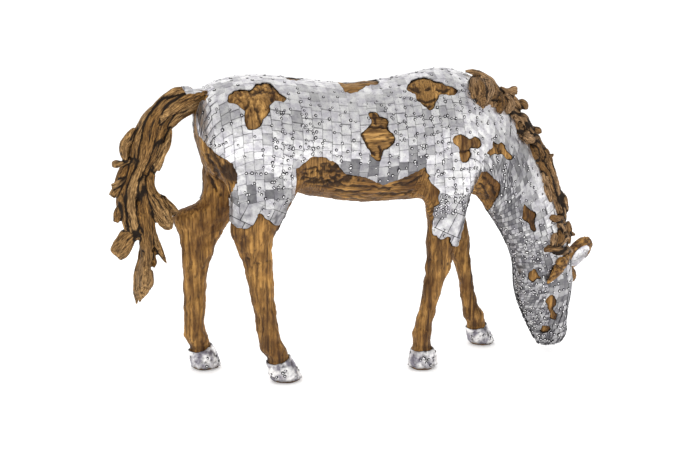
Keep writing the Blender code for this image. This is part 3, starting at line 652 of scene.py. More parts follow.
def walk_down(place, side):
    """Points every step along the surface, from the spine down one side, in the slice's plane."""
    top, low, _ = slice_at(place)
    belts = belt_points(place)
    middle_y = (belts[0].y + belts[1].y) / 2
    down = (low - top).normalized()
    plane = Vector((-down.z, 0, down.x))
    start, normal, _, _ = form.ray_cast(top - down * 0.3 + Vector((0, middle_y, 0)), down)
    if start is None:
        return []
    points = [start]
    heading = Vector((0, side, 0))
    for count in range(WALK_LIMIT):
        tangent = normal.cross(plane)
        if tangent.length < 0.05:
            break
        tangent.normalize()
        if tangent.dot(heading) < 0:
            tangent = -tangent
        target = points[-1] + tangent * WALK_STEP
        for _ in range(2):
            target, normal, _, _ = form.find_nearest(target)
            target = target - plane * (target - top).dot(plane)
        heading = tangent
        points.append(target)
        if target.z < WALK_LOW_Z and place < 9:
            break
        if count > 10 and (target.y - middle_y) * side < 0:
            break
    return points


def at_length(points, length):
    """The point at a length along a walk of equal steps."""
    place = min(max(length / WALK_STEP, 0), len(points) - 1.001)
    first = min(int(place), len(points) - 2)
    return points[first].lerp(points[first + 1], place - first)


slices = []
travelled, last_point, next_slice = 0, None, 0
for i in range((len(SLICES) - 1) * BELT_SAMPLES + 1):
    place = i / BELT_SAMPLES
    belts = belt_points(place)
    if belts[0] is None or belts[1] is None:
        continue
    if last_point:
        travelled += (belts[0] - last_point).length
    last_point = belts[0]
    if travelled >= next_slice:
        slices.append(place)
        next_slice = travelled + slice_at(place)[2]

# Spots of painted shade on the metal: x, z, width, height and strength of each; a negative strength
# paints light.
PAINTED_METAL_SHADE_SPOTS = [(0.02, 0.97, 0.22, 0.07, 0.75), (-0.20, 1.03, 0.16, 0.04, 0.4),
              (0.66, 0.80, 0.13, 0.16, 0.85), (0.76, 0.50, 0.12, 0.30, 0.78),
              (0.70, 0.95, 0.14, 0.10, 0.45), (0.88, 0.20, 0.22, 0.3, 0.68),
              (0.34, 0.79, 0.14, 0.07, 0.5), (0.20, 1.04, 0.10, 0.08, 0.3),
              (-0.56, 0.84, 0.16, 0.12, 0.55), (-0.20, 1.15, 0.14, 0.12, -0.4),
              (-0.55, 0.95, 0.16, 0.10, 0.28), (0.62, 1.00, 0.14, 0.14, 0.52),
              (0.95, 0.35, 0.10, 0.35, 0.25)]
UNDERSIDE_PAINTED_SHADE = 0.6


def painted_shade_at(point, normal):
    """How much painted shade the metal gets: a painted reflection of the ground where it faces down,
    painted shade low on the barrel and on neck and head, and painted light on the flank.
    """
    total = UNDERSIDE_PAINTED_SHADE * step_between(-normal.z, 0.05, 0.5)
    for x, z, wide, high, strength in PAINTED_METAL_SHADE_SPOTS:
        distance = math.hypot((point.x - x) / wide, (point.z - z) / high)
        total += strength * (1 - step_between(distance, 0.5, 1.3))
    return min(max(total, -0.4), 1)


# On the back and along the crest the squares are beaten so flat that their seams hardly show: they
# lift less there and on every face that looks up, and their painted seam shadow is fainter.
SOFT_SEAMS = [(0.60, 1.15, 0.22, 0.20), (0.78, 0.92, 0.12, 0.26), (0.93, 0.36, 0.14, 0.10)]


def seam_at(point, normal):
    """How dark a seam's painted shadow is, and how far a square lifts there: 1 where it stands open.
    """
    soft = step_between(normal.z, 0.35, 0.75)
    for x, z, wide, high in SOFT_SEAMS:
        soft = max(soft, 1 - step_between(math.hypot((point.x - x) / wide, (point.z - z) / high),
                                          0.6, 1.2))
    return 1 - 0.72 * soft


def clip_face(corners):
    """Cut a face's corners off where the margin is negative. A corner is a tuple, margin last."""
    kept = []
    for a, b in zip(corners, corners[1:] + corners[:1]):
        if a[-1] >= 0:
            kept.append(a)
        if (a[-1] < 0) != (b[-1] < 0):
            share = a[-1] / (a[-1] - b[-1])
            kept.append((a[0].lerp(b[0], share), a[1].lerp(b[1], share),
                         a[2] + (b[2] - a[2]) * share, 0.0))
    return kept


class TileShape:
    """Gathers tiles into one mesh, each a sheet with its cut edges, its tone, which holds painted
    shade, and a dark border, which is painted seam shadow.
    """

    def __init__(self):
        self.shape = bmesh.new()
        self.tone = self.shape.verts.layers.float.new("tone")
        self.border = self.shape.verts.layers.float.new("border")

    def add(self, corner_rows, tone):
        """A tile from rows of (point, normal, border, margin), clipped at the metal's edge."""
        known = {}
        normals = {}
        faces = []
        for upper, lower in zip(corner_rows, corner_rows[1:]):
            for i in range(len(upper) - 1):
                face = []
                for point, normal, border, _ in clip_face([upper[i], upper[i + 1],
                                                           lower[i + 1], lower[i]]):
                    key = tuple(round(c, 6) for c in point)
                    if key not in known:
                        known[key] = self.vert(point, tone, border)
                        normals[known[key]] = normal
                    face.append(known[key])
                if len(face) > 2:
                    faces.append(face)
        if not faces:
            return False
        sides = {}
        for face in faces:
            for a, b in zip(face, face[1:] + face[:1]):
                if (b, a) in sides:
                    del sides[(b, a)]
                else:
                    sides[(a, b)] = True
        for face in faces:
            self.face(face)
        low = {}
        for side in sides:
            for vert in side:
                if vert not in low:
                    # The cut edges take the seam's painted shadow.
                    low[vert] = self.vert(vert.co - normals[vert] * TILE_THICKNESS, tone, 1)
        for a, b in sides:
            self.face([b, a, low[a], low[b]])
        return True

    def vert(self, place, tone, border):
        vert = self.shape.verts.new(place)
        vert[self.tone] = tone
        vert[self.border] = border
        return vert

    def face(self, verts):
        unique = list(dict.fromkeys(verts))
        if len(unique) > 2 and self.shape.faces.get(unique) is None:
            self.shape.faces.new(unique)


def lay_tile(tiles, near, far, top, bottom, kind):
    """Lay one tile between two walks and two lengths along them. Returns its corners, or None."""
    tone = rolls.random()
    lifts = [rolls.uniform(0, TILE_LIFT) * (0.3 if kind == "small" else 1) for _ in range(4)]
    slant = [rolls.uniform(-0.05, 0.05) * (bottom - top) for _ in range(4)]
    grid = {"small": SMALL_TILE_GRID, "square": TILE_GRID, "sheet": RIM_TILE_GRID}[kind]
    dent = {"small": 0, "square": TILE_DENT, "sheet": SHEET_DENT}[kind]
    rows = tile_rows(near, far, top, bottom, lifts, slant, grid, dent)
    margins = [corner[-1] for row in rows for corner in row]
    if max(margins) < -RIM_REACH:
        return None
    middle, normal = rows[len(rows) // 2][len(rows) // 2][:2]
    # The tile's tone is its random grey with painted shade, reflection and light by its place added.
    dark = painted_shade_at(middle, normal)
    shade = min(max(0.42 * tone ** 2 + dark * (0.5 + 0.35 * tone), 0), 0.85)
    if kind == "small":
        shade = min(dark * (0.42 + 0.58 * tone), 0.92)
    finer = rows
    if min(margins) < RIM_REACH:
        finer = tile_rows(near, far, top, bottom, lifts, slant,
                          TILE_GRID if kind == "small" else RIM_TILE_GRID, dent)
    if tiles.add(finer, shade):
        return rows
    return None


def tile_rows(near, far, top, bottom, lifts, slant, grid, dent):
    """Rows of (point, normal, border, margin) over a tile between two walks and two lengths."""
    lap = TILE_LAP if dent else 0
    rows = []
    for down in grid:
        row = []
        for over in grid:
            length_near = top + slant[0] + (bottom + slant[1] - top - slant[0]) * down
            length_far = top + slant[2] + (bottom + slant[3] - top - slant[2]) * down
            a = at_length(near, length_near)
            b = at_length(far, length_far)
            wide = (b - a).length
            over_lap = over + (over - 0.5) * 2 * lap / max(wide, 0.01)
            point, normal, _, _ = form.find_nearest(a.lerp(b, over_lap))
            lift = ((lifts[0] * (1 - over) + lifts[1] * over) * (1 - down)
                    + (lifts[2] * (1 - over) + lifts[3] * over) * down)
            bent = (noise.noise(point / 0.018) + ridges(point / 0.04, 1.5) - 0.5) * dent
            bent *= min(4 * down * (1 - down) + 0.2, 1)
            seam = seam_at(point, normal)
            border = seam if down in (0, 1) or over in (0, 1) else 0.0
            height = TILE_REST + TILE_THICKNESS + (lift + down * TILE_LIFT) * seam + bent
            row.append((point + normal * height, normal.copy(), border,
                        metal_margin(point, normal)))
        rows.append(row)
    return rows


# Thin sheet lies on the wood under the squares, and is all there is low on the legs, where it is
# crumpled round them.
UNDER_SHEET_REST = 0.0006
CRUMPLE_SIZE = 0.05
CRUMPLE_HEIGHT = 0.0042
SHEET_TURN_IN = 0.003
under_shape = bmesh.new()
under_tone = under_shape.verts.layers.float.new("tone")
under_border = under_shape.verts.layers.float.new("border")
under_leg = under_shape.verts.layers.float.new("leg")
under_known = {}


def under_vert(corner):
    """The under sheet's own point for a corner of the form, made the first time it is asked for."""
    point, normal, _, inside = corner
    key = tuple(round(c, 5) for c in point)
    if key not in under_known:
        on_leg = (1 - step_between(point.z, 0.78, 0.90)) * (1 - step_between(point.x, 0.48, 0.54))
        crumple = ridges(point / CRUMPLE_SIZE, 1.5) - 0.4 + 0.4 * noise.noise(point / 0.016)
        height = UNDER_SHEET_REST + on_leg * CRUMPLE_HEIGHT * (1 - crumple)
        if on_leg == 0:
            point, normal, _, _ = form.find_nearest(point)
        vert = under_shape.verts.new(point + normal * height)
        vert[under_leg] = on_leg
        # Painted shade: the sheet is greyer in the crumples' hollows on the legs, and takes the same
        # painted shade by place as the squares.
        vert[under_tone] = min(0.25 + 0.5 * on_leg * max(crumple, 0)
                               + 0.4 * painted_shade_at(point, normal), 1)
        under_known[key] = vert
    return under_known[key]


for indices in surface_faces:
    corners = [surface_corners[i] for i in indices]
    if max(corner[-1] for corner in corners) > 0:
        unique = list(dict.fromkeys(under_vert(corner) for corner in clip_face(corners)))
        if len(unique) > 2:
            under_shape.faces.new(unique)
under_shape.normal_update()
rim_edges = [edge for edge in under_shape.edges if edge.is_boundary]
turned = bmesh.ops.extrude_edge_only(under_shape, edges=rim_edges)
turned_verts = [item for item in turned["geom"] if isinstance(item, bmesh.types.BMVert)]
# The turned-in edge takes the seam's painted shadow.
for vert in turned_verts:
    vert.co -= form.find_nearest(vert.co)[1] * SHEET_TURN_IN
    vert[under_border] = 1
under_mesh = bpy.data.meshes.new("under_sheet")
under_shape.to_mesh(under_mesh)
under_shape.free()
under_mesh.shade_smooth()
under_sheet = bpy.data.objects.new("under_sheet", under_mesh)
bpy.context.scene.collection.objects.link(under_sheet)
print("under", sum(len(f.vertices) - 2 for f in under_mesh.polygons))

right_tiles = TileShape()
left_tiles = TileShape()
right_head_tiles = TileShape()
left_head_tiles = TileShape()
tile_corners = []


def kind_of_tile(place, point, travelled, length):
    """Squares on the trunk, large sheets low on the legs and along the crest, small on the head."""
    if place < 7.6:
        on_leg = point.z < (HIND_SHEETS_Z if point.x < -0.2 else FORE_SHEETS_Z)
        return "none" if on_leg else "square"
    if NECK_START <= place < POLL_PLACE and travelled < CREST_SHEETS:
        return "sheet"
    if place >= NECK_START + 0.5 and travelled > length * SMALL_START:
        return "small"
    return "square"


for side in (-1, 1):
    walks = [walk_down(place, side) for place in slices]
    for i in range(len(slices) - 1):
        place = slices[i]
        size = slice_at(place)[2]
        tiles = right_tiles if side < 0 else left_tiles
        if place >= NECK_START:
            tiles = right_head_tiles if side < 0 else left_head_tiles
        length = (min(len(walks[i]), len(walks[i + 1])) - 1) * WALK_STEP
        if length < size:
            continue
        top = -rolls.uniform(0, size)
        while top < length:
            kind = kind_of_tile(place, at_length(walks[i], max(top, 0)), top, length)
            tall = size * rolls.uniform(0.85, 1.3)
            if kind == "none":
                break
            if kind == "sheet":
                tall *= SHEET_TALL
            if kind == "small":
                tall *= SMALL_SHARE
            bottom = top + tall
            far = walks[i + 1]
            middle = (top + bottom) / 2
            gap = (at_length(walks[i], middle) - at_length(far, middle)).length
            lay = True
            doubled = kind == "sheet" or gap < 0.45 * size
            if doubled and i + 2 < len(walks):
                lay = i % 2 == 0
                far = walks[i + 2]
            if gap > 6 * size:
                lay = False
            if lay and len(far) > 2:
                parts = max(1, round(gap / size / 1.1))
                if kind == "sheet":
                    parts = 1
                if kind == "small":
                    parts = max(1, round(gap / size / SMALL_SHARE))
                for part in range(parts):
                    near_walk, far_walk = walks[i], far
                    if parts > 1:
                        count = min(len(near_walk), len(far_walk))
                        near_walk = [walks[i][k].lerp(far[k], part / parts) for k in range(count)]
                        far_walk = [walks[i][k].lerp(far[k], (part + 1) / parts)
                                    for k in range(count)]
                    lap = 0 if kind == "small" else 2 * TILE_LAP
                    rows = lay_tile(tiles, near_walk, far_walk, top, bottom + lap, kind)
                    if rows:
                        tile_corners.append(rows)
            top = bottom

# Bright sheet metal, rubbed but not polished: each square its own grey, partly at random and partly
# painted shade, reflection and light by its place, with small dents and scratches, and a darker seam
# where the squares meet, a painted shadow of the lapped edge that noise makes uneven.
sheet_metal = bpy.data.materials.new("bright_sheet_metal")
sheet_metal.use_nodes = True
tree = sheet_metal.node_tree
shader = tree.nodes["Principled BSDF"]
place = add_node(tree, "TexCoord").outputs["Object"]
tone = add_node(tree, "Attribute", attribute_name="tone").outputs["Fac"]
border = add_node(tree, "Attribute", attribute_name="border").outputs["Fac"]
leg = add_node(tree, "Attribute", attribute_name="leg").outputs["Fac"]
smears = add_node(tree, "TexNoise", {"Vector": place, "Scale": 34, "Detail": 5, "Roughness": 0.6})
greyed = add_node(tree, "Mix", {0: tone, 6: linear("#FDFCFB"), 7: linear("#4C4B4E")},
                  data_type="RGBA")
smear_share = add_node(tree, "MapRange", {"Value": smears.outputs["Fac"], "From Min": 0.40,
                                          "From Max": 0.62})
smeared = add_node(tree, "Mix", {0: smear_share.outputs[0], 6: greyed.outputs[2],
                                 7: linear("#DDDBE2")}, data_type="RGBA", blend_type="MULTIPLY")
specks = add_node(tree, "TexNoise", {"Vector": place, "Scale": 150, "Detail": 3, "Roughness": 0.7})
speck_share = add_node(tree, "MapRange", {"Value": specks.outputs["Fac"], "From Min": 0.58,
                                          "From Max": 0.70, "To Max": 0.55})
specked = add_node(tree, "Mix", {0: speck_share.outputs[0], 6: smeared.outputs[2],
                                 7: linear("#6E6C6F")}, data_type="RGBA")
turned_place = add_node(tree, "Mapping", {"Vector": place, "Rotation": (-math.pi / 2, 0, 0.45)})
leg_sheets = add_node(tree, "TexBrick", {
    "Vector": turned_place.outputs[0], "Color1": linear("#FFFFFF"), "Color2": linear("#B9B7BC"),
    "Mortar": linear("#2E2D30"), "Scale": 1.0, "Mortar Size": 0.0018, "Brick Width": 0.06,
    "Row Height": 0.105, "Mortar Smooth": 0.3, "Bias": -0.2}, offset=0.37)
on_sheets = add_node(tree, "Mix", {0: leg, 6: specked.outputs[2], 7: leg_sheets.outputs["Color"]},
                     data_type="RGBA", blend_type="MULTIPLY")
# Painted shadow along the seams, made stronger or weaker by noise.
painted_shadow_strength = add_node(tree, "TexNoise", {"Vector": place, "Scale": 42, "Detail": 3})
shadow_strength_share = add_node(tree, "MapRange", {"Value": painted_shadow_strength.outputs["Fac"], "From Min": 0.35,
                                         "From Max": 0.65, "To Min": 0.6, "To Max": 1.1})
uneven_seam_shadow = add_node(tree, "Math", {0: border, 1: shadow_strength_share.outputs[0]}, operation="MULTIPLY")
seam_share = add_node(tree, "MapRange", {"Value": uneven_seam_shadow.outputs[0], "From Min": 0.1,
                                         "From Max": 0.8, "To Max": 0.78})
seamed = add_node(tree, "Mix", {0: seam_share.outputs[0], 6: on_sheets.outputs[2],
                                7: linear("#4A494F")}, data_type="RGBA")
# Painted shadow: a nearly black ring round each nail head.
ring_share = add_node(tree, "MapRange", {"Value": border, "From Min": 1.05, "From Max": 1.4})
ringed = add_node(tree, "Mix", {0: ring_share.outputs[0], 6: seamed.outputs[2],
                                7: linear("#17161A")}, data_type="RGBA")
dents = add_node(tree, "TexNoise", {"Vector": place, "Scale": 45, "Detail": 4, "Roughness": 0.5})
bumps = add_node(tree, "Bump", {"Height": dents.outputs["Fac"], "Strength": 0.6,
                                "Distance": 0.0028})
dull = add_node(tree, "MapRange", {"Value": smears.outputs["Fac"], "To Min": 0.22,
                                   "To Max": 0.5})
tree.links.new(ringed.outputs[2], shader.inputs["Base Color"])
tree.links.new(dull.outputs[0], shader.inputs["Roughness"])
tree.links.new(bumps.outputs[0], shader.inputs["Normal"])
shader.inputs["Metallic"].default_value = 1.0

under_sheet.data.materials.append(sheet_metal)
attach(under_sheet, "root")
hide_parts("metal_tile_skin")
for name, tiles in (("right_side_tiles", right_tiles), ("left_side_tiles", left_tiles),
                    ("right_neck_and_head_tiles", right_head_tiles),
                    ("left_neck_and_head_tiles", left_head_tiles)):
    mesh = bpy.data.meshes.new(name)
    bmesh.ops.recalc_face_normals(tiles.shape, faces=tiles.shape.faces)
    tiles.shape.to_mesh(mesh)
    tiles.shape.free()
    piece = bpy.data.objects.new(name, mesh)
    bpy.context.scene.collection.objects.link(piece)
    piece.data.materials.append(sheet_metal)
    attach(piece, "root")
    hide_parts("metal_tile_skin")
    print(name, sum(len(f.vertices) - 2 for f in mesh.polygons))

# Flat-headed nails hold the squares: thick along the flank's crease, over the shoulder and at the
# edges, and thin elsewhere. Each head sits in a small dimple, ringed with painted shadow.
# Crowded places: x, z, how wide and how high they are, and the share of nail places used there.
NAIL_CROWDS = [
    (-0.345, 1.08, 0.045, 0.22, 8.0), (-0.43, 1.02, 0.10, 0.16, 4.5), (-0.73, 1.10, 0.05, 0.15, 2.6),
    (-0.50, 0.92, 0.16, 0.14, 2.2), (-0.46, 1.24, 0.06, 0.08, 3.2), (0.03, 1.17, 0.11, 0.13, 2.4),
    (0.24, 1.10, 0.12, 0.26, 2.6), (0.42, 0.96, 0.08, 0.14, 2.2), (0.34, 0.80, 0.10, 0.06, 16.0),
    (-0.08, 1.01, 0.24, 0.05, 2.4), (0.44, 1.25, 0.16, 0.12, 1.8), (0.18, 1.24, 0.10, 0.10, 2.6),
    (0.80, 0.40, 0.12, 0.14, 1.4), (0.88, 0.14, 0.14, 0.16, 1.6), (-0.25, 1.22, 0.10, 0.12, 1.6),
    (0.12, 0.93, 0.06, 0.05, 3.0), (-0.64, 1.00, 0.06, 0.05, 2.0)]
NAIL_SHARE = 0.58
NAIL_RADIUS = 0.0062
NAIL_HEIGHT = 0.0022
NAIL_SIDES = 8
nail_shape = bmesh.new()
nail_shape.verts.layers.float.new("border")
LEG_NAIL_SHARE = 0.0085
LEG_NAIL_RISE = 0.003


def add_nail(shape, point, normal):
    """One flat head in a small dimple, with a ring of painted shadow round it."""
    ring_layer = shape.verts.layers.float["border"]
    size = NAIL_RADIUS * rolls.uniform(0.75, 1.15)
    across = normal.orthogonal().normalized()
    up = normal.cross(across)
    centre = shape.verts.new(point + normal * NAIL_HEIGHT)
    rings = []
    for radius, height, painted_shadow_strength in ((1.3, -0.3, 1.7), (1.05, 0.2, 1.7), (0.66, 0.5, 1.5),
                                 (0.5, 0.95, 0.0)):
        ring = []
        for k in range(NAIL_SIDES):
            angle = 2 * math.pi * k / NAIL_SIDES
            out = (across * math.cos(angle) + up * math.sin(angle)) * size * radius
            vert = shape.verts.new(point + out + normal * NAIL_HEIGHT * height)
            vert[ring_layer] = painted_shadow_strength
            ring.append(vert)
        rings.append(ring)
    for outer, inner in zip(rings, rings[1:]):
        for k in range(NAIL_SIDES):
            j = (k + 1) % NAIL_SIDES
            shape.faces.new((outer[k], outer[j], inner[j], inner[k]))
    for k in range(NAIL_SIDES):
        shape.faces.new((rings[-1][k], rings[-1][(k + 1) % NAIL_SIDES], centre))
    shape.faces.new(list(reversed(rings[0])))


for rows in tile_corners:
    middle = rows[len(rows) // 2][len(rows) // 2][0]
    wanted = NAIL_SHARE
    for x, z, wide, high, crowded in NAIL_CROWDS:
        near = math.hypot((middle.x - x) / wide, (middle.z - z) / high)
        wanted = max(wanted, crowded * (1 - step_between(near, 0.5, 1.3)))
    if len(rows) == len(SMALL_TILE_GRID):
        wanted *= 0.4
    for _ in range(int(wanted + rolls.random())):
        down, over = rolls.randrange(len(rows) - 1), rolls.randrange(len(rows) - 1)
        share_down, share_over = rolls.random(), rolls.random()
        upper = [a + (b - a) * share_over for a, b in zip(rows[down][over], rows[down][over + 1])]
        lower = [a + (b - a) * share_over
                 for a, b in zip(rows[down + 1][over], rows[down + 1][over + 1])]
        point, normal, _, inside = [a + (b - a) * share_down for a, b in zip(upper, lower)]
        normal.normalize()
        if inside < NAIL_RADIUS:
            continue
        add_nail(nail_shape, point, normal)
for indices in surface_faces:
    point, normal, _, inside = surface_corners[indices[0]]
    if point.z < HIND_SHEETS_Z and point.x < 0.5 and inside > NAIL_RADIUS:
        wanted = LEG_NAIL_SHARE
        for x, z, wide, high, crowded in NAIL_CROWDS:
            near = math.hypot((point.x - x) / wide, (point.z - z) / high)
            wanted = max(wanted, LEG_NAIL_SHARE * crowded * 1.6 * (1 - step_between(near, 0.5, 1.3)))
        if rolls.random() < wanted:
            add_nail(nail_shape, point + normal * LEG_NAIL_RISE, normal)
nail_mesh = bpy.data.meshes.new("nail_heads")
bmesh.ops.recalc_face_normals(nail_shape, faces=nail_shape.faces)
nail_shape.to_mesh(nail_mesh)
nail_shape.free()
nail_mesh.shade_smooth()
nails = bpy.data.objects.new("nail_heads", nail_mesh)
bpy.context.scene.collection.objects.link(nails)
nails.data.materials.append(sheet_metal)
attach(nails, "root")

# The mane and tail are driftwood: weathered roots and branches, split and twisted along their
# length, pinned and glued in a bundle. Rows are x, y, z and radius in centimetres along a strand.
DRIFTWOOD_VOXEL = 0.0042
STRAND_SIDES = 10
STRAND_STEP = 0.006
STRAND_GROOVE = 0.0048
STRAND_FLUTE = 0.0080
STRAND_KNOBS = 0.2


def lay_strand(shape, samples, number, rows, girth):
    """Loft one strand into the shape, and note places, directions and lengths along it."""
    path = smooth_rows(rows, 6)
    centres = [Vector(row[:3]) / 100 for row in path]
    rings = []
    travelled = 0
    for i, centre in enumerate(centres):
        ahead = (centres[min(i + 1, len(path) - 1)] - centres[max(i - 1, 0)]).normalized()
        wide = ahead.cross(Vector((0, 1, 0))).normalized()
        deep = wide.cross(ahead).normalized()
        radius = path[i][3] / 100 * girth * (1 + STRAND_KNOBS * noise.noise(centre / 0.055))
        if i:
            travelled += (centre - centres[i - 1]).length
        samples.append((centre, ahead, wide, deep, radius, travelled, number))
        twist = travelled * 6 + number
        ring = []
        for k in range(STRAND_SIDES):
            angle = 2 * math.pi * k / STRAND_SIDES
            swell = 1 + 0.22 * math.cos(2 * (angle - twist)) + 0.12 * math.cos(3 * (angle + twist))
            out = wide * math.cos(angle) + deep * math.sin(angle)
            ring.append(shape.verts.new(centre + out * radius * swell))
        rings.append(ring)
    for row, following in zip(rings, rings[1:]):
        for k in range(STRAND_SIDES):
            j = (k + 1) % STRAND_SIDES
            shape.faces.new((row[k], row[j], following[j], following[k]))
    shape.faces.new(list(reversed(rings[0])))
    shape.faces.new(rings[-1])


def driftwood_piece(name, strands, girth):
    """Melt a bundle of strands into one gnarled piece, grooved along every strand."""
    shape = bmesh.new()
    samples = []
    for number, rows in enumerate(strands):
        lay_strand(shape, samples, number, rows, girth)
    bmesh.ops.recalc_face_normals(shape, faces=shape.faces)
    mesh = bpy.data.meshes.new(name)
    shape.to_mesh(mesh)
    shape.free()
    piece = bpy.data.objects.new(name, mesh)
    bpy.context.scene.collection.objects.link(piece)
    add_modifier(piece, "REMESH", mode="VOXEL", voxel_size=DRIFTWOOD_VOXEL)
    add_modifier(piece, "SMOOTH", factor=0.5, iterations=2)
    bake_modifiers(piece)
    places = KDTree(len(samples))
    for i, sample in enumerate(samples):
        places.insert(sample[0], i)
    places.balance()
    shape = bmesh.new()
    shape.from_mesh(piece.data)
    shape.normal_update()
    hollow_layer = shape.verts.layers.float.new("hollow")
    tone_layer = shape.verts.layers.float.new("tone")
    grain_layer = shape.verts.layers.float_vector.new("grain")
    moves = []
    for vert in shape.verts:
        near = [(distance - samples[i][4], i) for _, i, distance in places.find_n(vert.co, 8)]
        near.sort()
        centre, ahead, wide, deep, radius, travelled, number = samples[near[0][1]]
        out = vert.co - centre
        length = travelled + out.dot(ahead)
        grain = Vector((out.dot(wide), out.dot(deep), 0))
        place = Vector((grain.x / 0.024, grain.y / 0.024, length / 0.16 + number * 7.3))
        flute = ridges(place, 3)
        fine = ridges(place * 2.6, 2)
        crack = ridges(Vector((place.x * 1.3, place.y * 1.3, place.z * 0.8 + 40)), 7)
        others = [gap for gap, i in near if samples[i][6] != number]
        meeting = 1 - step_between(others[0] - near[0][0], 0, 0.008) if others else 0
        # Painted shade: the hollow share darkens flutes, cracks and the places where strands meet; it
        # also sets how deep they are cut.
        hollow = min(0.3 * flute + 0.3 * fine + 0.65 * crack + 0.75 * meeting, 1)
        knots = noise.noise(vert.co / 0.035)
        depth = STRAND_GROOVE * hollow + STRAND_FLUTE * 0.4 * knots
        vert[hollow_layer] = hollow
        vert[tone_layer] = 0.5 + 0.5 * math.sin(number * 2.4 + length * 9)
        vert[grain_layer] = Vector((grain.x, grain.y, length + number * 0.37))
        moves.append((vert, vert.co - vert.normal * depth))
    for vert, place in moves:
        vert.co = place
    shape.to_mesh(piece.data)
    shape.free()
    piece.data.shade_smooth()
    print(name, len(piece.data.polygons) * 2)
    return piece


TAIL_GIRTH = 1.06
TAIL_STRANDS = [
    [(-82, -2, 134, 1.4), (-87, -3, 133.5, 1.9), (-91.5, -3, 131.5, 2.1), (-96.5, -3, 128, 2.2),
     (-100.5, -3, 124, 2.3), (-104, -3, 119.5, 2.2), (-107, -3, 112, 2.1), (-108.5, -3, 103, 2.1),
     (-110.5, -3, 96.5, 2), (-113, -3, 89, 2.4), (-113.5, -3, 84, 2.6), (-112.5, -3, 77, 2.4),
     (-110.5, -3, 71, 2.2)],
    [(-82, -1, 131.5, 2.2), (-88, -3, 131, 2.4), (-94, -4, 128.5, 2.4), (-97.5, -4, 124.5, 2.8),
     (-100.5, -4, 119.5, 3), (-102, -4.5, 112, 3.1), (-104, -4, 104.5, 2.7), (-107, -4, 98, 2.4),
     (-109.5, -4, 92.5, 2.3), (-111, -4, 84, 2.6), (-109.5, -4, 74.5, 2.5), (-109, -4, 70, 2.2)],
    [(-75.5, -7, 133.5, 0.8), (-79, -5.5, 132.5, 1.6), (-82.5, -4.5, 131, 2.2), (-87, -4.5, 129, 2.5),
     (-91, -5, 126.5, 2.4), (-94.5, -5, 123.5, 1.9), (-96.5, -5, 121, 1.1)],
    [(-77, -3, 130, 1.6), (-82.5, -2.5, 126.5, 1.8), (-86.5, -2, 124, 1.9), (-90, -2, 121.5, 2),
     (-94, -2, 117, 2.1), (-97, -2, 110, 1.9), (-100.5, -2, 102, 1.8)],
    [(-92, -2.5, 125, 2.2), (-95, -3, 119.5, 2.8), (-97.5, -3, 113, 2.8), (-100, -3, 106, 2.4)],
    [(-84, -1, 130, 1.8), (-89, -1, 127.5, 2.2), (-93.5, -1, 123.5, 2.3), (-97, -1, 117.5, 2.2)],
    [(-111, -1, 96, 1.8), (-111.8, -0.5, 90, 2.2), (-111.5, 0, 83, 2)],
    [(-108, -1, 97, 2), (-108.5, 0, 89, 2.6), (-107.5, 0, 80, 2.8), (-107, 0, 71, 2.4)],
    [(-92, -3, 117.5, 0.9), (-92.5, -3, 114, 1.6), (-94, -3, 110, 1.9), (-96.5, -3, 105.5, 1.9),
     (-99.5, -3, 99.5, 2)],
    [(-96, -4, 115, 1), (-98, -5, 109.5, 1.3), (-100.5, -5, 104.5, 1.3), (-104, -4.5, 98.5, 1.3)],
    [(-100.5, -3, 100, 1.8), (-102, -3, 93, 2.7), (-100.5, -3, 88.5, 3.1), (-97.5, -3, 82, 3.7),
     (-95.5, -3, 77, 3.5), (-94.5, -3, 74, 2.8), (-94, -3, 72, 1.6)],
    [(-101, -2, 90, 1.8), (-97, -2, 86, 2.3), (-93.5, -2, 82.5, 2.3), (-90.3, -1, 79, 1.8)],
    [(-105, -3, 92, 2), (-105, -3, 85, 3), (-104.5, -3, 78, 3.7), (-104, -3, 70.5, 3.4),
     (-104, -3, 62, 3.1), (-105, -3, 55.5, 3.3), (-105.5, -3, 51.5, 3.7), (-106, -2, 47, 3.2),
     (-107, -2, 43.5, 2), (-107.8, -1, 38.6, 0.4)],
    [(-107, -3, 118, 1.4), (-109.5, -3, 114.5, 2.1), (-112, -3, 111, 2.3), (-112.5, -3, 107.5, 2),
     (-112, -3, 104, 1.3)],
    [(-108, -3, 104.5, 1.6), (-113, -3, 103, 1.4), (-116, -3, 102.5, 1.8), (-116.5, -3, 101, 1.3)],
    [(-110, -2, 104, 1.6), (-111.5, -2, 99.5, 2), (-113, -2, 95, 2.3), (-115, -2, 91.5, 2.2),
     (-117.5, -2, 88.5, 1.6)],
    [(-112, -3, 96, 1.6), (-116, -3, 93.5, 1.8), (-118.5, -3, 92.8, 1.4)],
    [(-112, -2, 89, 1.8), (-114.5, -3, 83.5, 2.2), (-116, -3, 80, 2.1), (-117.2, -3, 76.5, 1.3)],
    [(-108, -3, 73, 3), (-112, -3, 69.5, 3.6), (-114.5, -3, 66, 3.7), (-117, -3, 63, 3.2),
     (-118.2, -3, 61.8, 2.4)],
    [(-102, -1, 73, 1.6), (-99.5, -1, 66, 1.6), (-97.5, -1, 61, 1.5), (-94.8, -1, 55.5, 0.3)],
    [(-101.5, -2, 62, 1.6), (-100.5, -2, 57.5, 1.3), (-101, -2, 54.5, 0.6)],
    [(-103.5, -2, 53, 1.8), (-102.5, -2, 48.5, 1.4), (-103.5, -2, 44.5, 0.8)],
    [(-105.5, -2.5, 101, 1.8), (-106, -2.5, 94, 2.7), (-105.5, -2.5, 87, 2.6)],
]
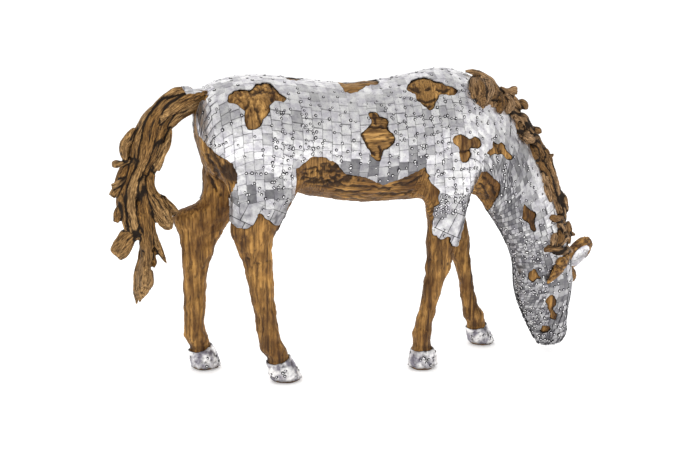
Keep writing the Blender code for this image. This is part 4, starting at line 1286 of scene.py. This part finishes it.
# The far side is a plainer run of the long strands.
FAR_COPIES = (0, 1, 3, 4, 7, 10, 11, 12, 15, 22)
for rows in [TAIL_STRANDS[number] for number in FAR_COPIES]:
    TAIL_STRANDS.append([(x + 1.2 * math.sin(z / 9), -y * 1.1 + 0.6, z - 1.5, radius)
                         for x, y, z, radius in rows])
tail = driftwood_piece("driftwood_tail_strands", TAIL_STRANDS, TAIL_GIRTH)

# The skin's last sheet runs out over the root of the tail, pressed down on it and cut to a point.
ROOT_SHEET_START = Vector((-0.735, -0.005, 1.320))
ROOT_SHEET_END = Vector((-0.880, -0.020, 1.318))
ROOT_SHEET_ROWS = 30
ROOT_SHEET_TURN = math.radians(80)
ROOT_SHEET_COLUMNS = 30
ROOT_SHEET_REST = 0.0042
tail_tree = tree_of(tail)
reaches = []
for i in range(ROOT_SHEET_ROWS + 1):
    centre = ROOT_SHEET_START.lerp(ROOT_SHEET_END, i / ROOT_SHEET_ROWS)
    row = []
    for k in range(ROOT_SHEET_COLUMNS + 1):
        angle = ROOT_SHEET_TURN * (2 * k / ROOT_SHEET_COLUMNS - 1)
        out = Vector((0, math.sin(angle), math.cos(angle)))
        reach = 0.02
        for solid in (tail_tree, form):
            hit = solid.ray_cast(centre + out * 0.2, -out, 0.2)[0]
            if hit:
                reach = max(reach, (hit - centre).dot(out))
        row.append(reach)
    reaches.append(row)
for _ in range(6):
    reaches = [[(reaches[i][k] * 2 + reaches[max(i - 1, 0)][k]
                 + reaches[min(i + 1, ROOT_SHEET_ROWS)][k] + reaches[i][max(k - 1, 0)]
                 + reaches[i][min(k + 1, ROOT_SHEET_COLUMNS)]) / 6
                for k in range(ROOT_SHEET_COLUMNS + 1)] for i in range(ROOT_SHEET_ROWS + 1)]
root_tiles = TileShape()
corner_rows = []
for i in range(ROOT_SHEET_ROWS + 1):
    centre = ROOT_SHEET_START.lerp(ROOT_SHEET_END, i / ROOT_SHEET_ROWS)
    row = []
    for k in range(ROOT_SHEET_COLUMNS + 1):
        angle = ROOT_SHEET_TURN * (2 * k / ROOT_SHEET_COLUMNS - 1)
        out = Vector((0, math.sin(angle), math.cos(angle)))
        point = centre + out * (reaches[i][k] + ROOT_SHEET_REST)
        waver = RIM_WAVER * noise.noise(point / RIM_WAVER_SIZE)
        low_edge = 1.322 + 0.014 * step_between(point.x, -0.83, -0.79)
        end = -0.872 + 0.5 * (1.372 - point.z)
        inside = min(point.z - low_edge, point.x - end) + waver
        # The seam lines drawn on this sheet take the same painted seam shadow.
        seam = min(abs((point.x + 0.80) % 0.038 - 0.019), abs(angle % 0.7 - 0.35) * 0.05)
        border = 1 - step_between(seam, 0.0008, 0.0026)
        row.append((point, out, border, inside))
    corner_rows.append(row)
root_tiles.add(corner_rows, 0.2)
root_mesh = bpy.data.meshes.new("tail_root_sheet")
root_tiles.shape.normal_update()
root_tiles.shape.to_mesh(root_mesh)
root_tiles.shape.free()
root_mesh.shade_smooth()
root_sheet = bpy.data.objects.new("tail_root_sheet", root_mesh)
bpy.context.scene.collection.objects.link(root_sheet)
root_sheet.data.materials.append(sheet_metal)
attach(root_sheet, "root")
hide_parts("metal_tile_skin")

# Blocks split off knots, laid along the crest and down the right of the neck, their grain across
# it at the withers and along it below; then the forelock's short locks.
MANE_GIRTH = 1.3
MANE_STRANDS = [
    [(46.5, -1, 138.3, 0.6), (50.5, -1, 138, 0.9), (54.5, -1, 136.5, 1.1), (58, -1, 134.5, 1.4),
     (60.5, -1, 132.5, 1.5), (63, -1, 129.5, 1.5), (65, -1, 128, 1.3)],
    [(48.5, -6, 135.2, 1.5), (47, -9, 134, 1.7), (46.8, -11.5, 132, 1.8), (47, -13, 129.5, 2.1),
     (47.2, -14, 126.5, 1.8)],
    [(50, -7, 134, 2.6), (48.5, -10.5, 131.5, 3.7), (48.5, -12.5, 128, 3.7), (49, -13, 124.5, 2.6),
     (49.5, -13.2, 121.5, 1.6)],
    [(54, -6, 134, 2.6), (53, -9, 131, 4), (52, -11, 128, 3.8), (52, -12, 125, 2.4),
     (51.5, -12.8, 123, 1.5)],
    [(57.5, -5, 131.5, 2.4), (58.5, -5.5, 129, 2.6), (56.5, -9, 127, 2.1)],
    [(59.5, -4, 128, 1.5), (57, -8, 126, 1.8), (56, -10, 123.5, 1.6), (55.5, -11.5, 122, 1.2)],
    [(64, -1, 130, 1.2), (66.5, -1, 128.5, 1.2), (69.5, -1, 128, 1.3), (71, -1, 128.5, 1.4),
     (73, -1, 128.5, 1.3)],
    [(62, -6, 127, 1.8), (61.5, -7.5, 124, 2.9), (60.5, -9.5, 121.5, 2.6), (59.8, -11, 119.5, 1.5)],
    [(64.5, -5, 127, 1.8), (66.5, -5, 124.5, 2.6), (67, -5, 122, 2.4), (64.5, -7.5, 120, 1.5)],
    [(67.5, -3, 125, 2.1), (70, -3, 123.5, 2.1), (72, -3, 121.5, 1.8), (73.5, -3, 119.5, 1.5)],
    [(73, -2, 122.5, 1.2), (75, -2, 122.5, 1.8), (76.5, -2, 121.5, 1.7), (76.5, -2, 119.5, 1.5)],
    [(69.5, -4, 119, 1.5), (71, -4, 117, 2.4), (73.5, -4, 115.5, 2.8), (75.5, -4, 113, 2.6),
     (78, -4, 111, 2.1), (79.5, -4, 110, 1.5)],
    [(80.5, -2, 110.5, 1.2), (82, -2, 109.5, 1.5), (84, -2, 109, 1.4), (84.5, -2, 107.5, 1)],
    [(71.5, -5.5, 113, 1.2), (71.5, -7, 111.5, 1.5), (72, -8, 109, 2.1)],
    [(71.5, -8.8, 109, 1.8), (74, -7.8, 107.5, 2.5), (78, -5.5, 106, 2.5), (80.5, -5, 106, 2.2),
     (82.5, -5, 104, 1.6), (84.5, -5, 101.5, 1.2)],
    [(78.5, -5, 102, 1.1), (79.5, -6, 100.5, 2.1), (80.5, -7, 97.5, 1.7), (82.5, -5.5, 95.5, 1.1)],
    [(84.5, -3, 101, 1.9), (85.5, -3, 99, 1.7), (87, -3, 97.5, 1.3)],
    [(84.5, -4, 97.5, 1.1), (86, -4, 95.5, 1.9), (88, -4, 93, 1.9), (90, -4, 89, 1.9),
     (92, -4, 85, 1.8), (93, -4, 81, 1.3)],
    [(87.5, -3, 96, 1.1), (89.5, -3, 96.5, 1.2), (91, -3, 97, 0.8), (92, -3, 98, 0.3)],
    [(84, -7.5, 89, 1), (85, -8, 85.5, 1.5), (86, -9, 82, 1.7), (87.5, -9.3, 78, 1.5),
     (88.5, -9.5, 75.5, 1)],
    [(80.5, -6.5, 97, 1.5), (84, -6, 93, 1.9), (87, -5.5, 88, 2.4), (90, -5, 82, 2.4),
     (92, -5, 76.5, 2.4), (94, -5.5, 71.5, 2.5), (96.5, -5, 67.5, 2.2)],
    [(93.5, -5, 79.5, 1.5), (94.5, -5, 77, 2.3), (96, -5, 74, 2.3), (97.5, -5, 71.5, 1.8),
     (97.5, -5, 69, 1.3)],
    [(97, -3, 78, 1.1), (98.5, -3, 75, 1.3), (99, -3, 71.5, 1.3), (99, -3, 68.5, 1.1)],
    [(85.5, -12.5, 69, 0.4), (87.5, -12.3, 68.5, 1.1), (91, -10.5, 67.5, 1.7), (96, -6, 65.5, 1.9),
     (98, -6, 64.5, 1.5)],
    [(91, -9.8, 66, 1.5), (92.5, -10, 63, 2.1), (93, -10.8, 60.5, 2.3)],
    [(98.5, -4, 63.5, 1.9), (99.5, -4, 61, 2.1), (100, -4, 58.5, 1.9)],
    [(100, -4, 58.5, 1.3), (102, -4, 58, 1.1), (104, -4, 57.5, 0.7), (105, -4, 57.5, 0.2)],
    [(89.3, -12.8, 61, 1.2), (88.8, -13.2, 58.5, 2.1), (88.3, -13.8, 56.5, 1.6), (88.3, -13.6, 55, 1)],
    [(91.5, -12, 61, 1.6), (91.5, -12.8, 58.5, 2.1), (90.8, -13.2, 57, 1.9), (90.3, -13.6, 55.5, 1.2)],
    [(98.5, -6, 59, 1.4), (97.5, -7, 57, 1.9), (94.5, -11, 56.5, 1.9), (93, -12.8, 55, 1.2)],
    [(100.5, -5, 58, 1), (100.5, -5, 56, 1.2), (100, -5, 53.5, 1.2)],
    [(83.5, -14, 53, 0.9), (85.5, -14.2, 53.5, 1.4), (87.5, -14.4, 53.5, 1.7), (90.5, -14, 53, 1.7),
     (94, -12.8, 53, 1.6)],
    [(88, -14, 52.5, 1.4), (92, -13.5, 52, 1.6), (96, -11.5, 52, 2), (100.5, -6, 50.5, 1.4)],
    [(95.5, -11.5, 53.5, 1.4), (96.5, -11.5, 51, 1.6), (97.5, -11, 48.5, 1.2)],
    [(53, -3, 134, 1.6), (60, -4, 127.5, 1.9), (66, -4, 122.5, 2), (71.5, -4, 118, 2),
     (77, -5, 111, 2), (81, -5, 104, 2), (84, -5.5, 97, 2)],
    [(94.5, -4.5, 76, 1.7), (96, -4.5, 70, 1.9), (96.5, -5, 64, 2.1), (97, -5.5, 58, 2.1),
     (97.5, -6, 52, 1.9)],
    [(49, -4, 135.5, 1.5), (53, -4.5, 134.5, 2), (57.5, -4, 132, 2.2), (61, -3.5, 129, 2)],
    [(50, 0, 134, 2), (60, 0, 127, 2.4), (70, -0.5, 120, 2.4), (78, -2, 110, 2.4),
     (85, -3.5, 99, 2.3), (90, -5, 88, 2.2), (94, -5.5, 77, 2.1), (97, -6, 67, 1.9)],
]
mane = driftwood_piece("driftwood_mane_strands", MANE_STRANDS, MANE_GIRTH)

# Weathered driftwood, sanded by the water and then oiled: grey-brown to a pinkish tan on what
# stands out, with painted shade, nearly black, in its splits and where strands meet.
for piece, node, name, light_hex, middle_hex in (
        (tail, "driftwood_tail", "oiled_tail_driftwood", "#E2B67A", "#B08347"),
        (mane, "driftwood_mane", "oiled_mane_driftwood", "#E0B88A", "#A27A48")):
    driftwood = bpy.data.materials.new(name)
    driftwood.use_nodes = True
    tree = driftwood.node_tree
    shader = tree.nodes["Principled BSDF"]
    grain = add_node(tree, "Attribute", attribute_name="grain").outputs["Vector"]
    hollow = add_node(tree, "Attribute", attribute_name="hollow").outputs["Fac"]
    tone = add_node(tree, "Attribute", attribute_name="tone").outputs["Fac"]
    along = add_node(tree, "Mapping", {"Vector": grain, "Scale": (150, 150, 16)})
    streaks = add_node(tree, "TexNoise", {"Vector": along.outputs[0], "Scale": 1.0, "Detail": 6,
                                          "Roughness": 0.7, "Distortion": 0.4})
    streak_share = add_node(tree, "MapRange", {"Value": streaks.outputs["Fac"],
                                               "From Min": 0.36, "From Max": 0.66})
    blend = add_node(tree, "Mix", {0: tone, 6: linear(middle_hex), 7: linear(light_hex)},
                     data_type="RGBA")
    streaked = add_node(tree, "Mix", {0: streak_share.outputs[0], 6: linear("#4C331A"),
                                      7: blend.outputs[2]}, data_type="RGBA")
    flecks = add_node(tree, "TexNoise", {"Vector": along.outputs[0], "Scale": 2.6, "Detail": 3})
    fleck_share = add_node(tree, "MapRange", {"Value": flecks.outputs["Fac"], "From Min": 0.40,
                                              "From Max": 0.62})
    flecked = add_node(tree, "Mix", {0: fleck_share.outputs[0], 6: linear("#A29A92"),
                                     7: linear("#FFFFFF")}, data_type="RGBA")
    rubbed = add_node(tree, "Mix", {0: 1.0, 6: streaked.outputs[2], 7: flecked.outputs[2]},
                      data_type="RGBA", blend_type="MULTIPLY")
    split_share = add_node(tree, "MapRange", {"Value": hollow, "From Min": 0.25,
                                              "From Max": 0.75})
    split = add_node(tree, "Mix", {0: split_share.outputs[0], 6: rubbed.outputs[2],
                                   7: linear("#1E140B")}, data_type="RGBA")
    bumps = add_node(tree, "Bump", {"Height": streaks.outputs["Fac"], "Strength": 0.7,
                                    "Distance": 0.003})
    tree.links.new(split.outputs[2], shader.inputs["Base Color"])
    tree.links.new(bumps.outputs[0], shader.inputs["Normal"])
    shader.inputs["Roughness"].default_value = 0.65
    shader.inputs["Specular IOR Level"].default_value = 0.2
    piece.data.materials.append(driftwood)
    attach(piece, "root")
    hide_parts(node)

# Each hoof is wrapped in one hammered sheet, crumpled, cut raggedly a finger above the ground, and
# higher at the toe than at the heel, except the right fore's. Rusted nails hold it, each ringed with
# painted shadow.
WRAP_TURNS = 72
WRAP_ROWS = 18
WRAP_LOW_Z = 0.013
WRAP_RAGGED = 0.006
WRAP_OUT = 0.0045
WRAP_CRUMPLE = 0.0032
WRAP_REACH = 0.14
# Height of the top edge at the heel and at the toe.
WRAP_TOPS = {"right_hind": (0.096, 0.122), "left_hind": (0.094, 0.118),
             "right_fore": (0.096, 0.098), "left_fore": (0.088, 0.108)}
HOOF_NAILS = 15
hoof_sheet = bpy.data.materials.new("hammered_hoof_sheet")
hoof_sheet.use_nodes = True
tree = hoof_sheet.node_tree
shader = tree.nodes["Principled BSDF"]
place = add_node(tree, "TexCoord").outputs["Object"]
stain_and_painted_shade = add_node(tree, "Attribute", attribute_name="stain_and_painted_shade").outputs["Fac"]
hammered = add_node(tree, "TexNoise", {"Vector": place, "Scale": 48, "Detail": 3, "Roughness": 0.6})
cloudy = add_node(tree, "TexNoise", {"Vector": place, "Scale": 26, "Detail": 4})
cloud_share = add_node(tree, "MapRange", {"Value": cloudy.outputs["Fac"], "From Min": 0.4,
                                          "From Max": 0.62})
silver = add_node(tree, "Mix", {0: cloud_share.outputs[0], 6: linear("#EDEBEA"),
                                7: linear("#84808A")}, data_type="RGBA")
stained_and_shaded = add_node(tree, "Mix", {0: stain_and_painted_shade, 6: silver.outputs[2], 7: linear("#2B241F")},
                   data_type="RGBA")
bumps = add_node(tree, "Bump", {"Height": hammered.outputs["Fac"], "Strength": 0.8,
                                "Distance": 0.004})
tree.links.new(stained_and_shaded.outputs[2], shader.inputs["Base Color"])
tree.links.new(bumps.outputs[0], shader.inputs["Normal"])
shader.inputs["Metallic"].default_value = 1.0
shader.inputs["Roughness"].default_value = 0.33
hoof_nail_shape = bmesh.new()
hoof_nail_shape.verts.layers.float.new("border")


def wrap_crumple(point):
    """How deeply the wrap is beaten in at a point of the hoof."""
    return ridges(point / 0.032, 1.5) + 0.5 * noise.noise(point / 0.012)


for leg, (heel_top, toe_top) in WRAP_TOPS.items():
    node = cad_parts[leg + "_hoof_wrap"]
    xs = [vert.co.x for vert in node.data.vertices]
    ys = [vert.co.y for vert in node.data.vertices]
    centre = Vector(((min(xs) + max(xs)) / 2, (min(ys) + max(ys)) / 2, 0))
    half_length = (max(xs) - min(xs)) / 2
    hoof = bmesh.new()
    stain_and_shade_layer = hoof.verts.layers.float.new("stain_and_painted_shade")
    rings = []
    for row in range(WRAP_ROWS + 2):
        share = min(max((row - 1) / (WRAP_ROWS - 1), 0), 1)
        ring = []
        for turn in range(WRAP_TURNS):
            angle = 2 * math.pi * turn / WRAP_TURNS
            out = Vector((math.cos(angle), math.sin(angle), 0))
            toe = step_between(out.x, -1, 1)
            ragged = noise.noise(Vector((out.x * 3, out.y * 3, centre.x * 9)))
            low = WRAP_LOW_Z + WRAP_RAGGED * (0.5 + ragged)
            top = heel_top + (toe_top - heel_top) * toe + 0.004 * noise.noise(out * 2.5 + centre)
            z = low + (top - low) * share
            start = centre + out * WRAP_REACH + Vector((0, 0, z))
            point = form.ray_cast(start, -out)[0]
            crumple = wrap_crumple(point)
            lift = WRAP_OUT + WRAP_CRUMPLE * (0.7 - crumple)
            if row in (0, WRAP_ROWS + 1):
                lift = 0.0
            vert = hoof.verts.new(point + out * lift)
            at_edge = 1 if row in (0, WRAP_ROWS + 1) else 0
            # Dark marks and painted shade: dark at the turned-in edges, dark blots, painted shade in
            # the crumples' hollows, and darker towards the bottom.
            blot = step_between(noise.noise(point / 0.014 + Vector((9, 0, 0))), 0.34, 0.5)
            toward_bottom = 1 - step_between(z - low, 0.002, 0.014)
            vert[stain_and_shade_layer] = max(at_edge, 0.8 * blot, 0.55 * step_between(crumple, 0.7, 1.1),
                                    0.6 * toward_bottom)
            ring.append(vert)
        rings.append(ring)
    for lower, upper in zip(rings, rings[1:]):
        for turn in range(WRAP_TURNS):
            k = (turn + 1) % WRAP_TURNS
            hoof.faces.new((lower[turn], lower[k], upper[k], upper[turn]))
    mesh = bpy.data.meshes.new(leg + "_hammered_wrap")
    hoof.to_mesh(mesh)
    hoof.free()
    mesh.shade_smooth()
    wrap = bpy.data.objects.new(leg + "_hammered_wrap", mesh)
    bpy.context.scene.collection.objects.link(wrap)
    wrap.data.materials.append(hoof_sheet)
    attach(wrap, "root")
    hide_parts(leg + "_hoof_wrap")
    for _ in range(HOOF_NAILS):
        angle = rolls.uniform(0, 2 * math.pi)
        out = Vector((math.cos(angle), math.sin(angle), 0))
        z = rolls.uniform(0.3, 0.85) * heel_top
        point = form.ray_cast(centre + out * WRAP_REACH + Vector((0, 0, z)), -out)[0]
        lift = WRAP_OUT + WRAP_CRUMPLE * (0.7 - wrap_crumple(point))
        add_nail(hoof_nail_shape, point + out * (lift + 0.15 * NAIL_HEIGHT), out)
hoof_nail_mesh = bpy.data.meshes.new("hoof_nail_heads")
bmesh.ops.recalc_face_normals(hoof_nail_shape, faces=hoof_nail_shape.faces)
hoof_nail_shape.to_mesh(hoof_nail_mesh)
hoof_nail_shape.free()
hoof_nail_mesh.shade_smooth()
hoof_nails = bpy.data.objects.new("hoof_nail_heads", hoof_nail_mesh)
bpy.context.scene.collection.objects.link(hoof_nails)
hoof_nails.data.materials.append(sheet_metal)
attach(hoof_nails, "root")

# The ears and the knob on the brow are carved of a redder wood than the body, gouged along their
# length, mottled by the oil and pegged into the head.
EAR_GROOVE = 0.0026
EAR_AXIS = Vector((0.75, 0.2, 0.63)).normalized()
RIGHT_EAR_SHIFT = Vector((-0.018, 0, 0.012))
EAR_KNOB = (Vector((0.927, -0.147, 0.465)), 0.031)
RIGHT_EAR_TIP = Vector((0.843, -0.136, 0.370))
RIGHT_EAR_WIDTH = 0.72
BROW_KNOB_SWELL = 1.35
# The knob's root runs back into the brow: how far along it, and its radius there.
BROW_KNOB_ROOT = ((0.35, 0.028), (0.65, 0.025), (0.95, 0.022))
ear_wood = bpy.data.materials.new("oiled_ear_wood")
ear_wood.use_nodes = True
tree = ear_wood.node_tree
shader = tree.nodes["Principled BSDF"]
place = add_node(tree, "TexCoord").outputs["Object"]
hollow = add_node(tree, "Attribute", attribute_name="hollow").outputs["Fac"]
mottles = add_node(tree, "TexNoise", {"Vector": place, "Scale": 48, "Detail": 6, "Roughness": 0.7})
mottle_share = add_node(tree, "MapRange", {"Value": mottles.outputs["Fac"], "From Min": 0.40,
                                           "From Max": 0.60})
mottled = add_node(tree, "Mix", {0: mottle_share.outputs[0], 6: linear("#482C12"),
                                 7: linear("#AE8144")}, data_type="RGBA")
# Painted shade: nearly black where the hollow share is high.
hollowed = add_node(tree, "Mix", {0: hollow, 6: mottled.outputs[2], 7: linear("#24140A")},
                    data_type="RGBA")
bumps = add_node(tree, "Bump", {"Height": mottles.outputs["Fac"], "Strength": 0.6,
                                "Distance": 0.003})
tree.links.new(hollowed.outputs[2], shader.inputs["Base Color"])
tree.links.new(bumps.outputs[0], shader.inputs["Normal"])
shader.inputs["Roughness"].default_value = 0.5
shader.inputs["Specular IOR Level"].default_value = 0.3
for node, name in (("right_ear", "right_ear_wood"), ("left_ear", "left_ear_wood"),
                   ("brow_knob", "brow_knob_wood")):
    piece = copy_of(node, name)
    if node == "right_ear":
        shape = bmesh.new()
        shape.from_mesh(piece.data)
        bmesh.ops.translate(shape, verts=shape.verts, vec=RIGHT_EAR_SHIFT)
        leaf = (EAR_KNOB[0] - RIGHT_EAR_TIP).normalized()
        for vert in shape.verts:
            off = vert.co - EAR_KNOB[0]
            off -= leaf * off.dot(leaf)
            off.y = 0
            vert.co -= off * (1 - RIGHT_EAR_WIDTH)
        knob = bmesh.ops.create_icosphere(shape, subdivisions=3, radius=EAR_KNOB[1])
        bmesh.ops.translate(shape, verts=knob["verts"], vec=EAR_KNOB[0])
        shape.to_mesh(piece.data)
        shape.free()
    if node == "brow_knob":
        low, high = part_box(node)
        middle = (Vector(low) + Vector(high)) / 2
        for vert in piece.data.vertices:
            vert.co = middle + (vert.co - middle) * BROW_KNOB_SWELL
        shape = bmesh.new()
        shape.from_mesh(piece.data)
        on_brow = form.find_nearest(middle)[0]
        for share, radius in BROW_KNOB_ROOT:
            lump = bmesh.ops.create_icosphere(shape, subdivisions=3, radius=radius)
            bmesh.ops.translate(shape, verts=lump["verts"], vec=middle.lerp(on_brow, share))
        shape.to_mesh(piece.data)
        shape.free()
    add_modifier(piece, "REMESH", mode="VOXEL", voxel_size=0.0032)
    add_modifier(piece, "SMOOTH", factor=0.5, iterations=6)
    bake_modifiers(piece)
    shape = bmesh.new()
    shape.from_mesh(piece.data)
    shape.normal_update()
    hollow_layer = shape.verts.layers.float.new("hollow")
    moves = []
    for vert in shape.verts:
        lengthwise = vert.co.dot(EAR_AXIS)
        across = vert.co - EAR_AXIS * lengthwise
        gouge = ridges(Vector((across.x / 0.016, across.y / 0.016, lengthwise / 0.06
                               + across.z / 0.016)), 2.5)
        crease = 0
        if node == "right_ear":
            from_knob = (vert.co - EAR_KNOB[0]).length / EAR_KNOB[1]
            crease = 1 - step_between(abs(from_knob - 1.13), 0.03, 0.12)
        # Painted shade in the gouges and in the crease round the ear's knob.
        vert[hollow_layer] = max(0.75 * gouge, 0.9 * crease)
        moves.append((vert, vert.co - vert.normal * EAR_GROOVE * max(gouge, crease)))
    for vert, place in moves:
        vert.co = place
    shape.to_mesh(piece.data)
    shape.free()
    piece.data.shade_smooth()
    piece.data.materials.append(ear_wood)
    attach(piece, "root")
    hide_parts(node)

# A sheet of the same metal lines the bowl of the left ear, pressed in.
LINING_CRUMPLE = 0.0022
lining = copy_of("left_ear_lining", "left_ear_lining_sheet")
add_modifier(lining, "REMESH", mode="VOXEL", voxel_size=0.0022)
add_modifier(lining, "SMOOTH", factor=0.5, iterations=2)
bake_modifiers(lining)
shape = bmesh.new()
shape.from_mesh(lining.data)
shape.normal_update()
tone_layer = shape.verts.layers.float.new("tone")
moves = []
for vert in shape.verts:
    crumple = ridges(vert.co / 0.034, 1.5)
    # Painted shade: the lining is greyer in the crumples' hollows.
    vert[tone_layer] = 0.6 * step_between(crumple, 0.75, 1.0)
    moves.append((vert, vert.co - vert.normal * LINING_CRUMPLE * crumple))
for vert, place in moves:
    vert.co = place
shape.to_mesh(lining.data)
shape.free()
lining.data.shade_smooth()
lining.data.materials.append(sheet_metal)
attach(lining, "root")
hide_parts("left_ear_lining")
